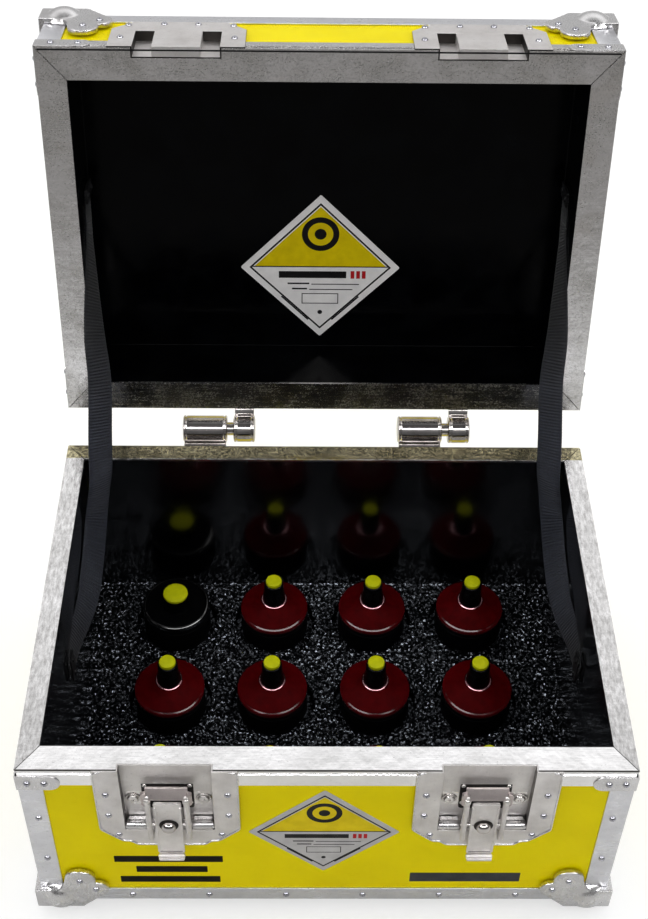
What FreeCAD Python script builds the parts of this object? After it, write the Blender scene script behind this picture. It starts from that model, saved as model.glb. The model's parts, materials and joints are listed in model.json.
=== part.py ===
import FreeCAD, Part
import os

# Hard transport case with an open hinged lid, two toggle latches and twelve canisters.
# Millimetres. X runs to the right, Y to the rear, Z up.
# Heights below are measured from the underside of the base; save() lifts everything
# by FOOT_HEIGHT, so the finished part stands on z = 0.
# The lid is drawn shut and swung open by LID_OPEN when it is saved.

V = FreeCAD.Vector

# ---- overall sizes ----
CASE_W = 470.0
CASE_D = 343.0
BASE_H = 193.5
CASE_H = 270.0          # lid shut
SPLIT_GAP = 0.5         # between the two rims when shut
FOOT_HEIGHT = 12.0      # how far the ball corners hold the base off the floor
LID_OPEN = 100.0        # degrees
HINGE_BACK = 22.5       # hinge axis behind the rear face

# ---- wall build-up, outside to inside ----
SKIN = 1.5              # edge angles
PANEL_T = 9.5           # laminated board
FLOOR_T = 6.0           # board in the floor and the lid top
LINER_T = 1.5
FLANGE_T = 1.2          # pressed dishes and corner plates
BRACKET_T = 1.0

# ---- openings inside the rims ----
BASE_IN_X = 218.5
BASE_IN_FRONT = -150.0
BASE_IN_REAR = 154.0
LID_IN_X = 211.0
LID_IN_FRONT = -144.0
LID_IN_REAR = 144.0

# ---- edge trim ----
RIM_T = 2.0
BASE_RIM_STRIP = 20.0
LID_RIM_STRIP = 15.5
RIM_GROOVE_TOP = 1.2
RIM_GROOVE_H = 4.8
RIM_GROOVE_DEPTH = 0.8
MITRE_GAP = 0.45
CORNER_STRIP = 19.0
EDGE_STRIP_BASE = 17.5
EDGE_STRIP_LID = 15.5

# ---- ball corners ----
BALL_R = 20.5
BALL_INSET_X = 15.0
BALL_INSET_Y = 11.0
BALL_INSET_Z = 8.0
CORNER_T = 4.5
LOBE_1 = (34.5, 38.0, 12.5)     # along the long leg, along the short leg, radius
LOBE_2 = (47.0, 23.0, 10.0)
CORNER_WAIST = [(14.0, 21.0), (19.2, 25.8), (22.0, 38.0)]   # pad up to the first lobe
CORNER_TOE = 34.0
CORNER_TOE_END = (52.0, 14.4)
CORNER_SADDLE = (46.0, 33.0)     # between the two lobes
CORNER_RIVETS = ((34.4, 37.2), (46.7, 24.2))

# ---- rim brackets: leg length, low edge, top edge ----
BASE_BRACKET = (33.0, 168.0, 186.0)
LID_BRACKET = (44.0, 195.0, 209.0)

# ---- rivets ----
RIVET_R = 2.6
RIVET_TOP_R = 1.5
RIVET_H = 1.2
RIVET_PITCH = 63.9
RIVET_EDGE = 8.0                # from the floor or the lid top, along the edge angles
RIVET_POST_X = 11.0             # in from an upright edge
RIVET_POST_Z = (67.0, 127.0)
BASE_BRACKET_RIVETS = (8.0, 21.0)
LID_BRACKET_RIVETS = (12.3, 34.2)
RIVET_SPAN_X = 161.0
RIVET_SPAN_Y = 96.0
BASE_DISH_RIVETS = ((46.6, 133.0), (40.5, 105.0), (46.6, 162.0))
LID_DISH_RIVETS = (
    (-44.0, 243.0), (-15.0, 246.0), (13.0, 246.0), (42.0, 243.0), (-46.0, 214.0), (46.0, 214.0),
)

# ---- latches ----
LATCH_X = 122.5
DISH_HALF_W = 55.0
DISH_LOW = 95.5
DISH_TAB_LOW = 90.0
DISH_TAB_HALF_W = 27.0
DISH_TAB_SLOPE = 5.0
DISH_CUT = 17.0
LID_DISH_TOP = 252.0
POCKET_HALF_W = 35.0
POCKET_LOW = 111.5
POCKET_DEPTH_RIM = 6.0
POCKET_DEPTH_LOW = 10.0
LID_POCKET_TOP = 230.0
LID_POCKET_DEPTH = 8.6
STRIKE_HALF_W = 19.5
LEVER_HALF_W = 10.8
LEVER_T = 2.5
LEVER_LOW = 80.0
LEVER_PIVOT_Z = 150.0
LEVER_PIVOT_OUT = 3.85          # pivot in front of the base face
LEVER_HUB_R = 3.4
LEVER_RISE = 5.0                # lever above its pivot
PIN_R = 1.6
PIN_PLAY = 0.05
HOOK_DROP = 25.0                # hook pivot below the lever pivot
HOOK_ARM_IN = 12.7
HOOK_ARM_OUT = 17.3
HOOK_ARM_LOW = 102.0
HOOK_ARM_LAP = 2.0              # arms run this far up into the block
HOOK_BLOCK_HALF_W = 19.5
HOOK_BLOCK_LOW = 162.0
HOOK_BLOCK_TOP = 171.0
HOOK_LOW_BACK = 1.5             # block behind the arms, low edge and top edge
HOOK_TOP_BACK = 3.0
HOOK_TOP_T = 2.0
HOOK_HALF_T = 1.7
HOOK_ARM_EYE_R = 4.0
BOSS_R = 6.0
BOSS_OUT = 3.5
LEVER_LIP = 5.0
CHASSIS_HALF_W = 33.0
CHASSIS_LOW = 136.0
CHASSIS_TOP = 166.0
CHASSIS_T = 1.5
CHASSIS_LUG_LOW = 143.0
CHASSIS_LUG_TOP = 153.0
CHASSIS_SCREW_X = 28.0
CHASSIS_SCREW_Z = 146.0
CHASSIS_SCREW_R = 4.5
LATCH_GAP = 0.3                 # between lever, lugs and claw arms

# ---- hinges ----
BARREL_R = 12.5
HINGE_PIN_R = 6.2
HINGE_PLAY = 0.05
BASE_KNUCKLE = 41.0
LID_KNUCKLE = 20.0
KNUCKLE_GAP = 5.5
HINGE_STARTS = (-131.0, 67.5)   # left end of each base knuckle
LEAF_T = 2.5
BASE_LEAF_DROP = 52.0
LID_LEAF_RISE = 46.0
WEB_START = 6.0                 # leaf webs, from the hinge axis
WEB_END = 16.0
WEB_LAP = 1.0
WEB_SHORT = 3.0                 # webs stop this far before the axis
PIN_INSET = 1.0
BASE_SCREW_INSET = 9.0
BASE_SCREW_DROPS = (24.0, 42.0)
LID_SCREW_RISES = (22.0, 37.0)

# ---- side handles ----
HANDLE_Z = 123.0
HANDLE_OUT = 6.0
HANDLE_HALF_W = 50.0
HANDLE_DROP = 43.0
HANDLE_BAR_R = 4.0
HANDLE_GRIP_R = 6.5
HANDLE_PIN_R = 3.0
HANDLE_GRIP_SHORT = 12.0        # bare bar at each end of the grip
HANDLE_PLATE_HALF_W = 70.0
HANDLE_PLATE_HALF_H = 20.0
HANDLE_PLATE_T = 2.0
HANDLE_LUG_T = 4.0
HANDLE_LUG_R = 6.0
HANDLE_LUG_GAP = 6.0            # between the bar and a lug

# ---- canisters ----
CANISTER_PITCH = 93.5
CANISTER_ROWS = (108.0, 14.5, -79.0)
POT_R = 31.75
POT_TOP = 42.0
POT_BEVEL = 2.0
WELL_PLAY = 6.0
WELL_DEPTH = 8.0
FOAM_TOP = 19.0
COLLAR_R = 12.0
COLLAR_LOW = 52.0
COLLAR_TOP = 53.5
KNOB_R = 11.2
KNOB_TOP = 63.0
STEM_R = 9.0
TIP_R = 7.5
TIP_LOW = 75.5
TIP_TOP = 79.0
ODD_TOP = 45.0                  # the flat topped canister
ODD_RIM = 3.0
ODD_BOSS_R = 11.5
ODD_BOSS_TOP = 58.0
ODD_CAP_TOP = 60.5

# ---- labels ----
LABEL_T = 0.4
FRONT_LABEL = (-1.5, 105.0, 60.0)       # x, z, half diagonal
LID_LABEL = (-5.0, 60.0, 73.0)          # x, y, half diagonal, lid shut
BAR_HALF_H = 4.7
CAUTION_BARS = ((44.0, -127.0, 62.5), (29.0, -125.0, 46.5), (41.0, -127.0, 30.5))
GREY_BAR = (70.0, 161.0, 27.0, 41.0)    # x from, x to, z from, z to

# ---- lid straps ----
STRAP_W = 24.0
STRAP_T = 1.6
STRAP_WALL_GAP = 0.5
STRAP_REAR = 140.0
BASE_STRAP_FRONT = -30.0
BASE_STRAP_LOW = 108.0
LID_STRAP_FRONT = -34.0
LID_STRAP_LOW = 228.0
ANCHOR_T = 1.5
ANCHOR_LENGTH = 14.0
ANCHOR_SET_BACK = 2.0
ANCHOR_OVERLAP = 2.0

# ---- derived ----
HALF_W = CASE_W / 2
FRONT = -CASE_D / 2
REAR = CASE_D / 2
LID_LOW = BASE_H + SPLIT_GAP
HINGE_Y = REAR + HINGE_BACK
HINGE_Z = BASE_H + SPLIT_GAP / 2
PANEL_IN_X = HALF_W - SKIN - PANEL_T
PANEL_IN_Y = REAR - SKIN - PANEL_T
FLANGE_FACE = FRONT - FLANGE_T
WELL_FLOOR = FOAM_TOP - WELL_DEPTH
LEVER_PIVOT_Y = FRONT - LEVER_PIVOT_OUT
HOOK_PIVOT_Z = LEVER_PIVOT_Z - HOOK_DROP

os.makedirs("parts", exist_ok=True)


# ---- small helpers ----
def box(x0, x1, y0, y1, z0, z1):
    return Part.makeBox(x1 - x0, y1 - y0, z1 - z0, V(x0, y0, z0))


def rod(radius, length, start, direction):
    return Part.makeCylinder(radius, length, V(*start), V(*direction))


def place(axis, along, u, v):
    """Point with `along` on the given axis and u, v on the other two, in X, Y, Z order."""
    if axis == "x":
        return V(along, u, v)
    if axis == "y":
        return V(u, along, v)
    return V(u, v, along)


def prism(axis, start, end, outline):
    """Outline of (u, v) points in the plane across `axis`, extruded from start to end."""
    points = [place(axis, start, u, v) for u, v in outline]
    face = Part.Face(Part.makePolygon(points + points[:1]))
    return face.extrude(place(axis, end - start, 0, 0))


def fuse(shapes):
    return shapes[0].multiFuse(shapes[1:]).removeSplitter()


def mirrored_x(shape):
    return shape.mirror(V(0, 0, 0), V(1, 0, 0))


def mirrored_y(shape):
    return shape.mirror(V(0, 0, 0), V(0, 1, 0))


def both_sides(shape):
    return [shape, mirrored_x(shape)]


def four_corners(shape):
    """The shape at front left, copied to the other three upright corners."""
    pair = both_sides(shape)
    return pair + [mirrored_y(s) for s in pair]


def save(node, shapes, on_lid=False):
    group = Part.makeCompound(list(shapes))
    if on_lid:
        group.rotate(V(0, HINGE_Y, HINGE_Z), V(1, 0, 0), -LID_OPEN)
    group.translate(V(0, 0, FOOT_HEIGHT))
    group.exportStep("parts/%s.step" % node)


# ---- panels and lining ----
def pocket_floor_y(z):
    """Y of the sloping floor of a base latch dish at height z."""
    share = (BASE_H - z) / (BASE_H - POCKET_LOW)
    depth = POCKET_DEPTH_RIM + share * (POCKET_DEPTH_LOW - POCKET_DEPTH_RIM)
    return FLANGE_FACE + depth


def base_pocket(grow):
    """Space inside a base latch dish, grown by the thickness of its sheet."""
    low = POCKET_LOW - grow
    outline = [
        (FLANGE_FACE - 1, low),
        (pocket_floor_y(POCKET_LOW) + grow, low),
        (pocket_floor_y(BASE_H) + grow, BASE_H + 1),
        (FLANGE_FACE - 1, BASE_H + 1),
    ]
    half = POCKET_HALF_W + grow
    return prism("x", LATCH_X - half, LATCH_X + half, outline)


def lid_pocket(grow):
    half = POCKET_HALF_W + grow
    return box(
        LATCH_X - half, LATCH_X + half,
        FLANGE_FACE - 1, FLANGE_FACE + LID_POCKET_DEPTH + grow,
        LID_LOW - 1, LID_POCKET_TOP + grow,
    )


def wall_panels(z0, z1):
    """Front, rear and pair of side boards between two heights."""
    outer_x = HALF_W - SKIN
    outer_y = REAR - SKIN
    front = box(-outer_x, outer_x, -outer_y, -PANEL_IN_Y, z0, z1)
    rear = box(-outer_x, outer_x, PANEL_IN_Y, outer_y, z0, z1)
    side = box(-outer_x, -PANEL_IN_X, -PANEL_IN_Y, PANEL_IN_Y, z0, z1)
    return front, rear, both_sides(side)


def make_panels():
    front, rear, sides = wall_panels(SKIN, BASE_H - RIM_T)
    save("base_front_panel", [front.cut(Part.makeCompound(both_sides(base_pocket(FLANGE_T))))])
    save("base_rear_panel", [rear])
    save("base_side_panels", sides)
    floor = box(-PANEL_IN_X, PANEL_IN_X, -PANEL_IN_Y, PANEL_IN_Y, SKIN, SKIN + FLOOR_T)
    save("base_bottom_panel", [floor])

    top = CASE_H - SKIN
    front, rear, sides = wall_panels(LID_LOW + RIM_T, top)
    front = front.cut(Part.makeCompound(both_sides(lid_pocket(FLANGE_T))))
    save("lid_front_panel", [front], on_lid=True)
    save("lid_rear_panel", [rear], on_lid=True)
    save("lid_side_panels", sides, on_lid=True)
    lid_top = box(-PANEL_IN_X, PANEL_IN_X, -PANEL_IN_Y, PANEL_IN_Y, top - FLOOR_T, top)
    save("lid_top_panel", [lid_top], on_lid=True)


def make_liners():
    floor = SKIN + FLOOR_T
    rim = BASE_H - RIM_T
    shell = box(-PANEL_IN_X, PANEL_IN_X, -PANEL_IN_Y, PANEL_IN_Y, floor, rim)
    hollow = box(-BASE_IN_X, BASE_IN_X, BASE_IN_FRONT, BASE_IN_REAR, floor + LINER_T, rim + 1)
    save("base_liner", [shell.cut(hollow)])

    rim = LID_LOW + RIM_T
    roof = CASE_H - SKIN - FLOOR_T
    shell = box(-PANEL_IN_X, PANEL_IN_X, -PANEL_IN_Y, PANEL_IN_Y, rim, roof)
    hollow = box(-LID_IN_X, LID_IN_X, LID_IN_FRONT, LID_IN_REAR, rim - 1, roof - LINER_T)
    save("lid_liner", [shell.cut(hollow)], on_lid=True)


# ---- rims, edge angles and corners ----
def rim_bars(in_x, in_front, in_rear, face_z, strip_end, inward):
    """Four mitred L bars. face_z is the rim face; inward is -1 below it and +1 above it."""
    back_z = face_z + inward * RIM_T
    low, high = sorted((face_z, back_z))
    g = MITRE_GAP
    outlines = [
        [(-HALF_W + g, FRONT), (HALF_W - g, FRONT), (in_x - g, in_front), (-in_x + g, in_front)],
        [(-HALF_W + g, REAR), (HALF_W - g, REAR), (in_x - g, in_rear), (-in_x + g, in_rear)],
        [(-HALF_W, FRONT + g), (-HALF_W, REAR - g), (-in_x, in_rear - g), (-in_x, in_front + g)],
        [(HALF_W, FRONT + g), (HALF_W, REAR - g), (in_x, in_rear - g), (in_x, in_front + g)],
    ]
    inner_x = HALF_W - SKIN
    inner_y = REAR - SKIN
    s0, s1 = sorted((back_z, strip_end))
    strips = [
        box(-inner_x, inner_x, FRONT, -inner_y, s0, s1),
        box(-inner_x, inner_x, inner_y, REAR, s0, s1),
        box(-HALF_W, -inner_x, -inner_y, inner_y, s0, s1),
        box(inner_x, HALF_W, -inner_y, inner_y, s0, s1),
    ]
    g0, g1 = sorted((face_z + inward * RIM_GROOVE_TOP,
                     face_z + inward * (RIM_GROOVE_TOP + RIM_GROOVE_H)))
    core_x = HALF_W - RIM_GROOVE_DEPTH
    core_y = REAR - RIM_GROOVE_DEPTH
    groove = box(-HALF_W - 1, HALF_W + 1, FRONT - 1, REAR + 1, g0, g1)
    groove = groove.cut(box(-core_x, core_x, -core_y, core_y, g0, g1))
    bars = []
    for outline, strip in zip(outlines, strips):
        bars.append(fuse([prism("z", low, high, outline), strip]).cut(groove))
    return bars


def make_rims():
    pockets = Part.makeCompound(both_sides(base_pocket(FLANGE_T)))
    bars = rim_bars(BASE_IN_X, BASE_IN_FRONT, BASE_IN_REAR, BASE_H, BASE_H - BASE_RIM_STRIP, -1)
    save("base_rim_frame", [bars[0].cut(pockets)] + bars[1:])
    pockets = Part.makeCompound(both_sides(lid_pocket(FLANGE_T)))
    bars = rim_bars(LID_IN_X, LID_IN_FRONT, LID_IN_REAR, LID_LOW, LID_LOW + LID_RIM_STRIP, 1)
    save("lid_rim_frame", [bars[0].cut(pockets)] + bars[1:], on_lid=True)


def corner_angle(z0, z1):
    """Upright L at the front left edge."""
    x1 = -HALF_W + CORNER_STRIP
    y1 = FRONT + CORNER_STRIP
    front_leg = box(-HALF_W, x1, FRONT, FRONT + SKIN, z0, z1)
    side_leg = box(-HALF_W, -HALF_W + SKIN, FRONT, y1, z0, z1)
    return fuse([front_leg, side_leg])


def edge_angles(face_z, inward, width):
    """Four level L bars round the floor (inward +1) or the lid top (inward -1)."""
    f0, f1 = sorted((face_z, face_z + inward * SKIN))
    w0, w1 = sorted((face_z, face_z + inward * width))
    end_x = HALF_W - CORNER_STRIP
    end_y = REAR - CORNER_STRIP
    front = fuse([
        box(-end_x, end_x, FRONT, FRONT + width, f0, f1),
        box(-end_x, end_x, FRONT, FRONT + SKIN, w0, w1),
    ])
    left = fuse([
        box(-HALF_W, -HALF_W + width, -end_y, end_y, f0, f1),
        box(-HALF_W, -HALF_W + SKIN, -end_y, end_y, w0, w1),
    ])
    return [front, mirrored_y(front), left, mirrored_x(left)]


def rim_bracket(leg, z0, z1):
    """L plate with round ends over the front left edge of a rim."""
    radius = (z1 - z0) / 2
    mid = (z0 + z1) / 2
    t = BRACKET_T
    front_leg = fuse([
        box(-HALF_W - t, -HALF_W + leg - radius, FRONT - t, FRONT, z0, z1),
        rod(radius, t, (-HALF_W + leg - radius, FRONT - t, mid), (0, 1, 0)),
    ])
    side_leg = fuse([
        box(-HALF_W - t, -HALF_W, FRONT - t, FRONT + leg - radius, z0, z1),
        rod(radius, t, (-HALF_W - t, FRONT + leg - radius, mid), (1, 0, 0)),
    ])
    return fuse([front_leg, side_leg])


def corner_plate(axis, face, long_start, short_start, short_way):
    """Lobed plate of a ball corner, on the face across `axis`.

    The long leg runs up from long_start; the short leg runs from short_start the
    way short_way points.
    """
    def at(a, b):
        return long_start + a, short_start + short_way * b

    start = face - CORNER_T
    end = face
    wrap = -CORNER_T
    waist = list(reversed(CORNER_WAIST))
    outline = [(wrap, wrap), (CORNER_TOE, wrap), CORNER_TOE_END, LOBE_2[:2], CORNER_SADDLE]
    outline += [LOBE_1[:2]] + waist + [(wrap, CORNER_WAIST[0][1])]
    pieces = [prism(axis, start, end, [at(a, b) for a, b in outline])]
    for a, b, radius in (LOBE_1, LOBE_2):
        u, v = at(a, b)
        pieces.append(Part.makeCylinder(
            radius, end - start, place(axis, start, u, v), place(axis, 1, 0, 0)))
    return fuse(pieces)


def ball_corner(corner_z, up):
    """Corner cap at the front left of the floor (up = +1) or of the lid top (up = -1)."""
    front = corner_plate("y", FRONT, -HALF_W, corner_z, up)
    side = corner_plate("x", -HALF_W, FRONT, corner_z, up)
    cap_z = corner_z if up > 0 else corner_z + CORNER_T
    flat = corner_plate("z", cap_z, -HALF_W, FRONT, 1)
    ball = Part.makeSphere(BALL_R, V(-HALF_W + BALL_INSET_X, FRONT + BALL_INSET_Y,
                                     corner_z + up * BALL_INSET_Z))
    inside = box(-HALF_W, HALF_W, FRONT, REAR, *sorted((corner_z, corner_z + up * 100)))
    tip_z = corner_z - up * FOOT_HEIGHT
    trim = box(-CASE_W, 0, -CASE_D, 0, *sorted((tip_z, tip_z - up * 50)))
    return fuse([front, side, flat, ball]).cut(inside).cut(trim)


def make_trim():
    angle = corner_angle(0, BASE_H - BASE_RIM_STRIP)
    save("base_corner_angles", four_corners(angle))
    save("base_bottom_angles", edge_angles(0, 1, EDGE_STRIP_BASE))
    save("base_rim_brackets", four_corners(rim_bracket(*BASE_BRACKET)))
    save("base_ball_corners", four_corners(ball_corner(0, 1)))
    angle = corner_angle(LID_LOW + LID_RIM_STRIP, CASE_H)
    save("lid_corner_angles", four_corners(angle), on_lid=True)
    save("lid_top_angles", edge_angles(CASE_H, -1, EDGE_STRIP_LID), on_lid=True)
    save("lid_rim_brackets", four_corners(rim_bracket(*LID_BRACKET)), on_lid=True)
    save("lid_ball_corners", four_corners(ball_corner(CASE_H, -1)), on_lid=True)


# ---- rivets ----
def rivet(point, out):
    return Part.makeCone(RIVET_R, RIVET_TOP_R, RIVET_H, V(*point), V(*out))


def strip_positions(half_length):
    """Evenly pitched places along an edge strip, centred, clear of the ball corners."""
    count = int((2 * half_length) // RIVET_PITCH) + 1
    first = -(count - 1) * RIVET_PITCH / 2
    return [first + i * RIVET_PITCH for i in range(count)]


def corner_rivets(corner_z, up):
    """Rivets through the front left ball corner."""
    out = []
    for a, b in CORNER_RIVETS:
        out.append(rivet((-HALF_W + a, FRONT - CORNER_T, corner_z + up * b), (0, -1, 0)))
        out.append(rivet((-HALF_W - CORNER_T, FRONT + a, corner_z + up * b), (-1, 0, 0)))
    return out


def bracket_rivets(offsets, z):
    out = []
    for offset in offsets:
        out.append(rivet((-HALF_W + offset, FRONT - BRACKET_T, z), (0, -1, 0)))
        out.append(rivet((-HALF_W - BRACKET_T, FRONT + offset, z), (-1, 0, 0)))
    return out


def make_rivets():
    at_corner = corner_rivets(0, 1)
    at_corner += bracket_rivets(BASE_BRACKET_RIVETS, (BASE_BRACKET[1] + BASE_BRACKET[2]) / 2)
    for z in RIVET_POST_Z:
        at_corner.append(rivet((-HALF_W + RIVET_POST_X, FRONT, z), (0, -1, 0)))
        at_corner.append(rivet((-HALF_W, FRONT + RIVET_POST_X, z), (-1, 0, 0)))
    rivets = []
    for one in at_corner:
        rivets += four_corners(one)
    for x in strip_positions(RIVET_SPAN_X):
        rivets.append(rivet((x, FRONT, RIVET_EDGE), (0, -1, 0)))
        rivets.append(rivet((x, REAR, RIVET_EDGE), (0, 1, 0)))
    for y in strip_positions(RIVET_SPAN_Y):
        rivets += both_sides(rivet((-HALF_W, y, RIVET_EDGE), (-1, 0, 0)))
    for dx, z in BASE_DISH_RIVETS:
        for x in (LATCH_X - dx, LATCH_X + dx):
            rivets += both_sides(rivet((x, FLANGE_FACE, z), (0, -1, 0)))
    save("base_rivets", rivets)

    at_corner = corner_rivets(CASE_H, -1)
    at_corner += bracket_rivets(LID_BRACKET_RIVETS, (LID_BRACKET[1] + LID_BRACKET[2]) / 2)
    rivets = []
    for one in at_corner:
        rivets += four_corners(one)
    edge_z = CASE_H - RIVET_EDGE
    for x in strip_positions(RIVET_SPAN_X):
        rivets.append(rivet((x, REAR, edge_z), (0, 1, 0)))
    for y in strip_positions(RIVET_SPAN_Y):
        rivets += both_sides(rivet((-HALF_W, y, edge_z), (-1, 0, 0)))
    for dx, z in LID_DISH_RIVETS:
        rivets += both_sides(rivet((LATCH_X + dx, FLANGE_FACE, z), (0, -1, 0)))
    save("lid_rivets", rivets, on_lid=True)


# ---- latches ----
def dish_outline_base():
    left = LATCH_X - DISH_HALF_W
    right = LATCH_X + DISH_HALF_W
    tab_l = LATCH_X - DISH_TAB_HALF_W
    tab_r = LATCH_X + DISH_TAB_HALF_W
    return [
        (left, BASE_H), (left, DISH_LOW + DISH_CUT), (left + DISH_CUT, DISH_LOW),
        (tab_l - DISH_TAB_SLOPE, DISH_LOW), (tab_l, DISH_TAB_LOW), (tab_r, DISH_TAB_LOW),
        (tab_r + DISH_TAB_SLOPE, DISH_LOW), (right - DISH_CUT, DISH_LOW),
        (right, DISH_LOW + DISH_CUT), (right, BASE_H),
    ]


def dish_outline_lid():
    left = LATCH_X - DISH_HALF_W
    right = LATCH_X + DISH_HALF_W
    shoulder = LID_DISH_TOP - DISH_CUT
    return [
        (left, LID_LOW), (left, shoulder), (left + DISH_CUT, LID_DISH_TOP),
        (right - DISH_CUT, LID_DISH_TOP), (right, shoulder), (right, LID_LOW),
    ]


def make_dishes():
    keep = box(0, HALF_W, FLANGE_FACE, 0, 0, BASE_H)
    flange = prism("y", FLANGE_FACE, FRONT, dish_outline_base())
    dish = fuse([flange, base_pocket(FLANGE_T)]).common(keep).cut(base_pocket(0))
    save("base_latch_dishes", both_sides(dish))

    keep = box(0, HALF_W, FLANGE_FACE, 0, LID_LOW, CASE_H)
    flange = prism("y", FLANGE_FACE, FRONT, dish_outline_lid())
    dish = fuse([flange, lid_pocket(FLANGE_T)]).common(keep).cut(lid_pocket(0))
    save("lid_latch_dishes", both_sides(dish), on_lid=True)

    strike = box(
        LATCH_X - STRIKE_HALF_W, LATCH_X + STRIKE_HALF_W,
        FLANGE_FACE, FLANGE_FACE + LID_POCKET_DEPTH, LID_LOW, LID_POCKET_TOP,
    )
    save("lid_latch_strikes", both_sides(strike), on_lid=True)


def chassis():
    """Plate on the dish floor with two lugs for the lever pin and two screw heads."""
    low, high, t = CHASSIS_LOW, CHASSIS_TOP, CHASSIS_T
    pieces = [prism("x", LATCH_X - CHASSIS_HALF_W, LATCH_X + CHASSIS_HALF_W, [
        (pocket_floor_y(low), low), (pocket_floor_y(high), high),
        (pocket_floor_y(high) - t, high), (pocket_floor_y(low) - t, low),
    ])]
    lug_in = LEVER_HALF_W + LATCH_GAP
    lug_out = HOOK_ARM_IN - LATCH_GAP
    lug_back = pocket_floor_y((CHASSIS_LUG_LOW + CHASSIS_LUG_TOP) / 2) - t / 2
    head_y = pocket_floor_y(CHASSIS_SCREW_Z) - t / 2
    for side in (-1, 1):
        x0, x1 = sorted((LATCH_X + side * lug_in, LATCH_X + side * lug_out))
        pieces.append(box(x0, x1, LEVER_PIVOT_Y, lug_back, CHASSIS_LUG_LOW, CHASSIS_LUG_TOP))
        pieces.append(rod(LEVER_HUB_R, x1 - x0, (x0, LEVER_PIVOT_Y, LEVER_PIVOT_Z), (1, 0, 0)))
        head = (LATCH_X + side * CHASSIS_SCREW_X, head_y, CHASSIS_SCREW_Z)
        pieces.append(rod(CHASSIS_SCREW_R, 2 * t, head, (0, -1, 0)))
    bore = rod(PIN_R, 2 * lug_out, (LATCH_X - lug_out, LEVER_PIVOT_Y, LEVER_PIVOT_Z), (1, 0, 0))
    return fuse(pieces).cut(bore)


def lever():
    y_back = LEVER_PIVOT_Y + LEVER_T / 2
    y_front = LEVER_PIVOT_Y - LEVER_T / 2
    x0 = LATCH_X - LEVER_HALF_W
    x1 = LATCH_X + LEVER_HALF_W
    pieces = [
        box(x0, x1, y_front, y_back, LEVER_LOW, LEVER_PIVOT_Z + LEVER_RISE),
        box(x0, x1, y_front - LEVER_LIP, y_front, LEVER_LOW, LEVER_LOW + LEVER_T),
        rod(BOSS_R, BOSS_OUT, (LATCH_X, y_front, HOOK_PIVOT_Z), (0, -1, 0)),
    ]
    bores = []
    for z in (LEVER_PIVOT_Z, HOOK_PIVOT_Z):
        start = (x0, LEVER_PIVOT_Y, z)
        pieces.append(rod(LEVER_HUB_R, x1 - x0, start, (1, 0, 0)))
        bores.append(rod(PIN_R + PIN_PLAY, x1 - x0, start, (1, 0, 0)))
    return fuse(pieces).cut(Part.makeCompound(bores))


def hook():
    """Claw with a sloping cross block and two arms, and the pin that carries it."""
    y0 = LEVER_PIVOT_Y - HOOK_HALF_T
    y1 = LEVER_PIVOT_Y + HOOK_HALF_T
    x0 = LATCH_X - HOOK_BLOCK_HALF_W
    x1 = LATCH_X + HOOK_BLOCK_HALF_W
    pieces = [prism("x", x0, x1, [
        (y0, HOOK_BLOCK_LOW), (y1 + HOOK_LOW_BACK, HOOK_BLOCK_LOW),
        (y1 + HOOK_TOP_BACK, HOOK_BLOCK_TOP), (y1 + HOOK_TOP_BACK - HOOK_TOP_T, HOOK_BLOCK_TOP),
    ])]
    arm_w = HOOK_ARM_OUT - HOOK_ARM_IN
    for start in (LATCH_X - HOOK_ARM_OUT, LATCH_X + HOOK_ARM_IN):
        pieces.append(box(start, start + arm_w, y0, y1,
                          HOOK_ARM_LOW, HOOK_BLOCK_LOW + HOOK_ARM_LAP))
        pieces.append(rod(HOOK_ARM_EYE_R, arm_w, (start, LEVER_PIVOT_Y, HOOK_PIVOT_Z), (1, 0, 0)))
    length = 2 * HOOK_ARM_OUT
    start = (LATCH_X - HOOK_ARM_OUT, LEVER_PIVOT_Y, HOOK_PIVOT_Z)
    claw = fuse(pieces).cut(rod(PIN_R, length, start, (1, 0, 0)))
    return [claw, rod(PIN_R, length, start, (1, 0, 0))]


def make_latches():
    save("latch_chassis", both_sides(chassis()))
    reach = HOOK_ARM_IN - LATCH_GAP
    pin = rod(PIN_R, 2 * reach, (LATCH_X - reach, LEVER_PIVOT_Y, LEVER_PIVOT_Z), (1, 0, 0))
    save("latch_lever_pins", both_sides(pin))
    save("latch_lever_right", [lever()])
    save("latch_lever_left", [mirrored_x(lever())])
    save("latch_hook_right", hook())
    save("latch_hook_left", [mirrored_x(s) for s in hook()])


# ---- hinges ----
def hinge_half(x, length, way, reach, bore_r):
    """Barrel with a leaf that lies on the rear face, below the split (way -1) or above it."""
    web = sorted((HINGE_Z + way * WEB_START, HINGE_Z + way * WEB_END))
    leaf = sorted((HINGE_Z + way * (WEB_START + WEB_LAP), HINGE_Z + way * reach))
    solid = fuse([
        rod(BARREL_R, length, (x, HINGE_Y, HINGE_Z), (1, 0, 0)),
        box(x, x + length, REAR, HINGE_Y - WEB_SHORT, *web).cut(
            rod(BARREL_R - WEB_LAP, length, (x, HINGE_Y, HINGE_Z), (1, 0, 0))),
        box(x, x + length, REAR, REAR + LEAF_T, *leaf),
    ])
    return solid.cut(rod(bore_r, length, (x, HINGE_Y, HINGE_Z), (1, 0, 0)))


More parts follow.
